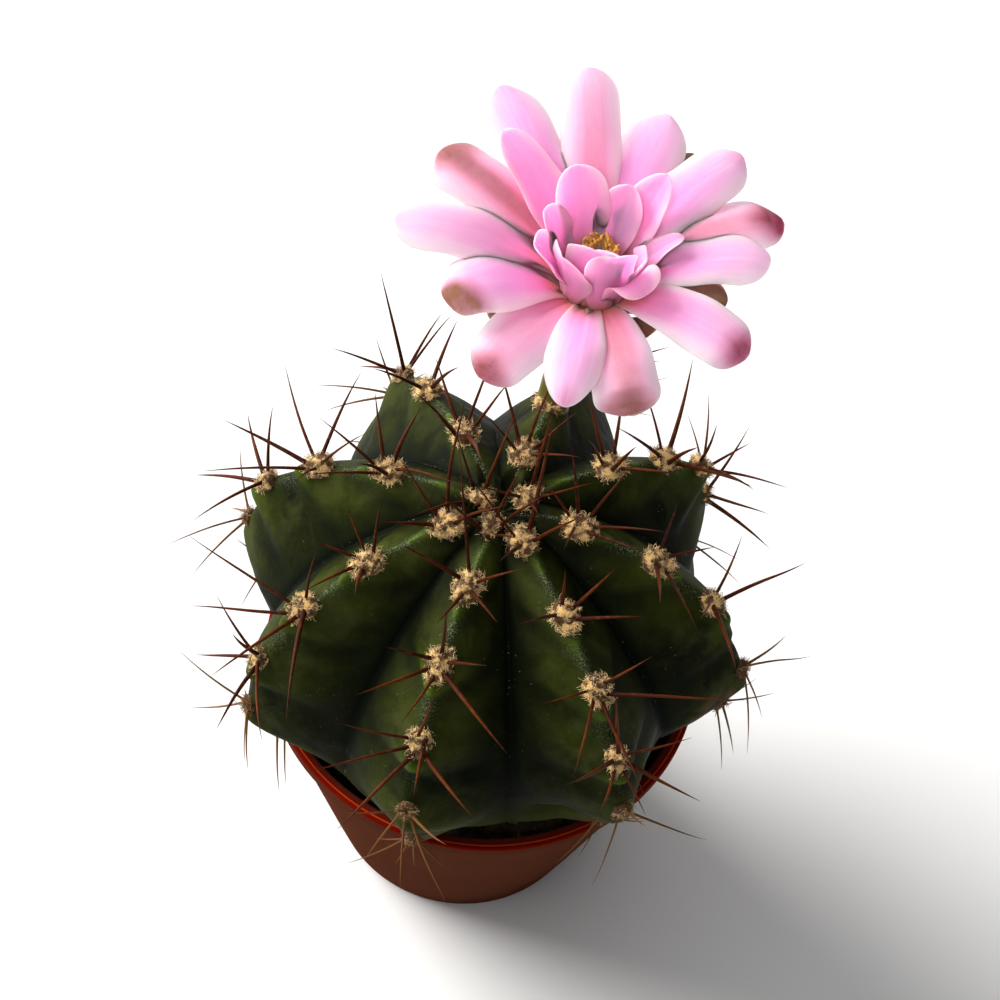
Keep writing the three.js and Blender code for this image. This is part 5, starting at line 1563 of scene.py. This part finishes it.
def make_camera():
    """The photo's camera: it looks down at the plant and is a little rolled."""
    down, roll = math.radians(CAMERA_DOWN), math.radians(CAMERA_ROLL)
    forward = Vector((0, math.cos(down), -math.sin(down)))
    level = Vector((1, 0, 0))
    above = level.cross(forward)
    right = level * math.cos(roll) + above * math.sin(roll)
    up = above * math.cos(roll) - level * math.sin(roll)
    turn = Matrix((right, up, -forward)).transposed().to_4x4()
    data = bpy.data.cameras.new("photo_camera")
    data.sensor_width = SENSOR
    data.lens = SENSOR * FOCAL_PIXELS / PICTURE_WIDTH
    data.clip_start = 0.01
    camera = bpy.data.objects.new("photo_camera", data)
    camera.matrix_world = Matrix.Translation(CAMERA_PLACE * MM) @ turn
    bpy.context.scene.collection.objects.link(camera)
    bpy.context.scene.camera = camera


def make_light(kind, name, place, target, **values):
    """A soft light of a kind at a place in metres that faces a target."""
    data = bpy.data.lights.new(name, kind)
    for key, value in values.items():
        setattr(data, key, value)
    light = bpy.data.objects.new(name, data)
    light.location = place
    light.rotation_euler = (place - target).to_track_quat("Z", "Y").to_euler()
    bpy.context.scene.collection.objects.link(light)


def make_stage(settings):
    """Pale floor, soft studio light and the camera."""
    make_camera()
    corners = [(x * FLOOR_HALF, y * FLOOR_HALF, 0) for x, y in ((-1, -1), (1, -1), (1, 1), (-1, 1))]
    floor = mesh_object("floor", corners, [[0, 1, 2, 3]])
    floor.data.materials.append(painted_board(settings))
    make_light("SUN", "key_light", KEY_WAY, Vector(), energy=settings.key_strength,
               angle=math.radians(KEY_WIDTH), color=(1.0, 0.98, 0.95))
    make_light("SPOT", "flower_fill", FILL_PLACE, HEAD_PLACE * MM, energy=settings.fill_power,
               spot_size=math.radians(FILL_CONE), spot_blend=FILL_BLEND, shadow_soft_size=FILL_SOFTNESS)
    world = bpy.data.worlds.new("studio")
    world.use_nodes = True
    tree = world.node_tree
    tree.nodes.clear()
    way = add(tree, "ShaderNodeTexCoord").outputs["Generated"]
    towards = add(tree, "ShaderNodeVectorMath", {0: way, 1: KEY_WAY}, operation="DOT_PRODUCT")
    strength = add(tree, "ShaderNodeMapRange", {
        "Value": towards.outputs["Value"], "From Min": -0.3, "From Max": 1.0,
        "To Min": settings.sky_dim, "To Max": settings.sky_bright}, interpolation_type="SMOOTHSTEP")
    sky = add(tree, "ShaderNodeBackground", {"Color": (1, 1, 1, 1), "Strength": strength})
    add(tree, "ShaderNodeOutputWorld", {"Surface": sky})
    bpy.context.scene.world = world
    bpy.context.scene.view_settings.view_transform = "Standard"


# Operators

class CACTUS_OT_stage(bpy.types.Operator):
    """Make the floor, the lights and the camera"""
    bl_idname = "cactus.stage"
    bl_label = "Stage"

    def execute(self, context):
        make_stage(context.scene.cactus_stage)
        return {"FINISHED"}


class CACTUS_OT_pot(bpy.types.Operator):
    """Make the pot's shell"""
    bl_idname = "cactus.pot"
    bl_label = "Pot"

    def execute(self, context):
        make_pot(context.scene.cactus_pot)
        return {"FINISHED"}


class CACTUS_OT_soil(bpy.types.Operator):
    """Make the soil and its crumbs"""
    bl_idname = "cactus.soil"
    bl_label = "Soil"

    def execute(self, context):
        make_soil(context.scene.cactus_soil)
        return {"FINISHED"}


class CACTUS_OT_stem(bpy.types.Operator):
    """Make the stem's skin"""
    bl_idname = "cactus.stem"
    bl_label = "Stem"

    def execute(self, context):
        make_stem(context.scene.cactus_stem)
        return {"FINISHED"}


class CACTUS_OT_wool(bpy.types.Operator):
    """Make the wool of the areoles"""
    bl_idname = "cactus.wool"
    bl_label = "Wool"

    def execute(self, context):
        make_wool(context.scene.cactus_wool)
        return {"FINISHED"}


class CACTUS_OT_spines(bpy.types.Operator):
    """Make the spines"""
    bl_idname = "cactus.spines"
    bl_label = "Spines"

    def execute(self, context):
        make_spines(context.scene.cactus_spines)
        return {"FINISHED"}


class CACTUS_OT_tube(bpy.types.Operator):
    """Make the flower tube, its scales and the sepals"""
    bl_idname = "cactus.tube"
    bl_label = "Flower Tube"

    def execute(self, context):
        make_tube(context.scene.cactus_flower)
        make_sepals(context.scene.cactus_flower)
        return {"FINISHED"}


class CACTUS_OT_petals(bpy.types.Operator):
    """Make the petals and the throat"""
    bl_idname = "cactus.petals"
    bl_label = "Petals"

    def execute(self, context):
        make_petals(context.scene.cactus_flower)
        return {"FINISHED"}


class CACTUS_OT_stamens(bpy.types.Operator):
    """Make the stamens"""
    bl_idname = "cactus.stamens"
    bl_label = "Stamens"

    def execute(self, context):
        make_stamens(context.scene.cactus_flower)
        return {"FINISHED"}


class CACTUS_OT_style(bpy.types.Operator):
    """Make the style and its stigma"""
    bl_idname = "cactus.style"
    bl_label = "Style"

    def execute(self, context):
        make_style(context.scene.cactus_flower)
        return {"FINISHED"}


SETTINGS = {
    "cactus_stage": StageSettings,
    "cactus_pot": PotSettings,
    "cactus_soil": SoilSettings,
    "cactus_stem": StemSettings,
    "cactus_wool": WoolSettings,
    "cactus_spines": SpineSettings,
    "cactus_flower": FlowerSettings,
}
OPERATORS = [
    CACTUS_OT_stage, CACTUS_OT_pot, CACTUS_OT_soil, CACTUS_OT_stem, CACTUS_OT_wool, CACTUS_OT_spines,
    CACTUS_OT_tube, CACTUS_OT_petals, CACTUS_OT_stamens, CACTUS_OT_style,
]


class CACTUS_PT_panel(bpy.types.Panel):
    """Buttons and settings for each piece"""
    bl_idname = "CACTUS_PT_panel"
    bl_label = "Potted Round Cactus"
    bl_space_type = "VIEW_3D"
    bl_region_type = "UI"
    bl_category = "Cactus"

    def draw(self, context):
        for operator in OPERATORS:
            self.layout.operator(operator.bl_idname)
        for key, group in SETTINGS.items():
            box = self.layout.box()
            box.label(text=group.__doc__)
            for name in group.__annotations__:
                box.prop(getattr(context.scene, key), name)


def register():
    for group in SETTINGS.values():
        bpy.utils.register_class(group)
    for key, group in SETTINGS.items():
        setattr(bpy.types.Scene, key, PointerProperty(type=group))
    for operator in OPERATORS:
        bpy.utils.register_class(operator)
    bpy.utils.register_class(CACTUS_PT_panel)


def unregister():
    bpy.utils.unregister_class(CACTUS_PT_panel)
    for operator in reversed(OPERATORS):
        bpy.utils.unregister_class(operator)
    for key, group in SETTINGS.items():
        delattr(bpy.types.Scene, key)
        bpy.utils.unregister_class(group)


def main():
    """Make everything."""
    register()
    bpy.ops.cactus.stage()
    bpy.ops.cactus.pot()
    bpy.ops.cactus.soil()
    bpy.ops.cactus.stem()
    bpy.ops.cactus.wool()
    bpy.ops.cactus.spines()
    bpy.ops.cactus.tube()
    bpy.ops.cactus.petals()
    bpy.ops.cactus.stamens()
    bpy.ops.cactus.style()


if __name__ == "__main__":
    main()
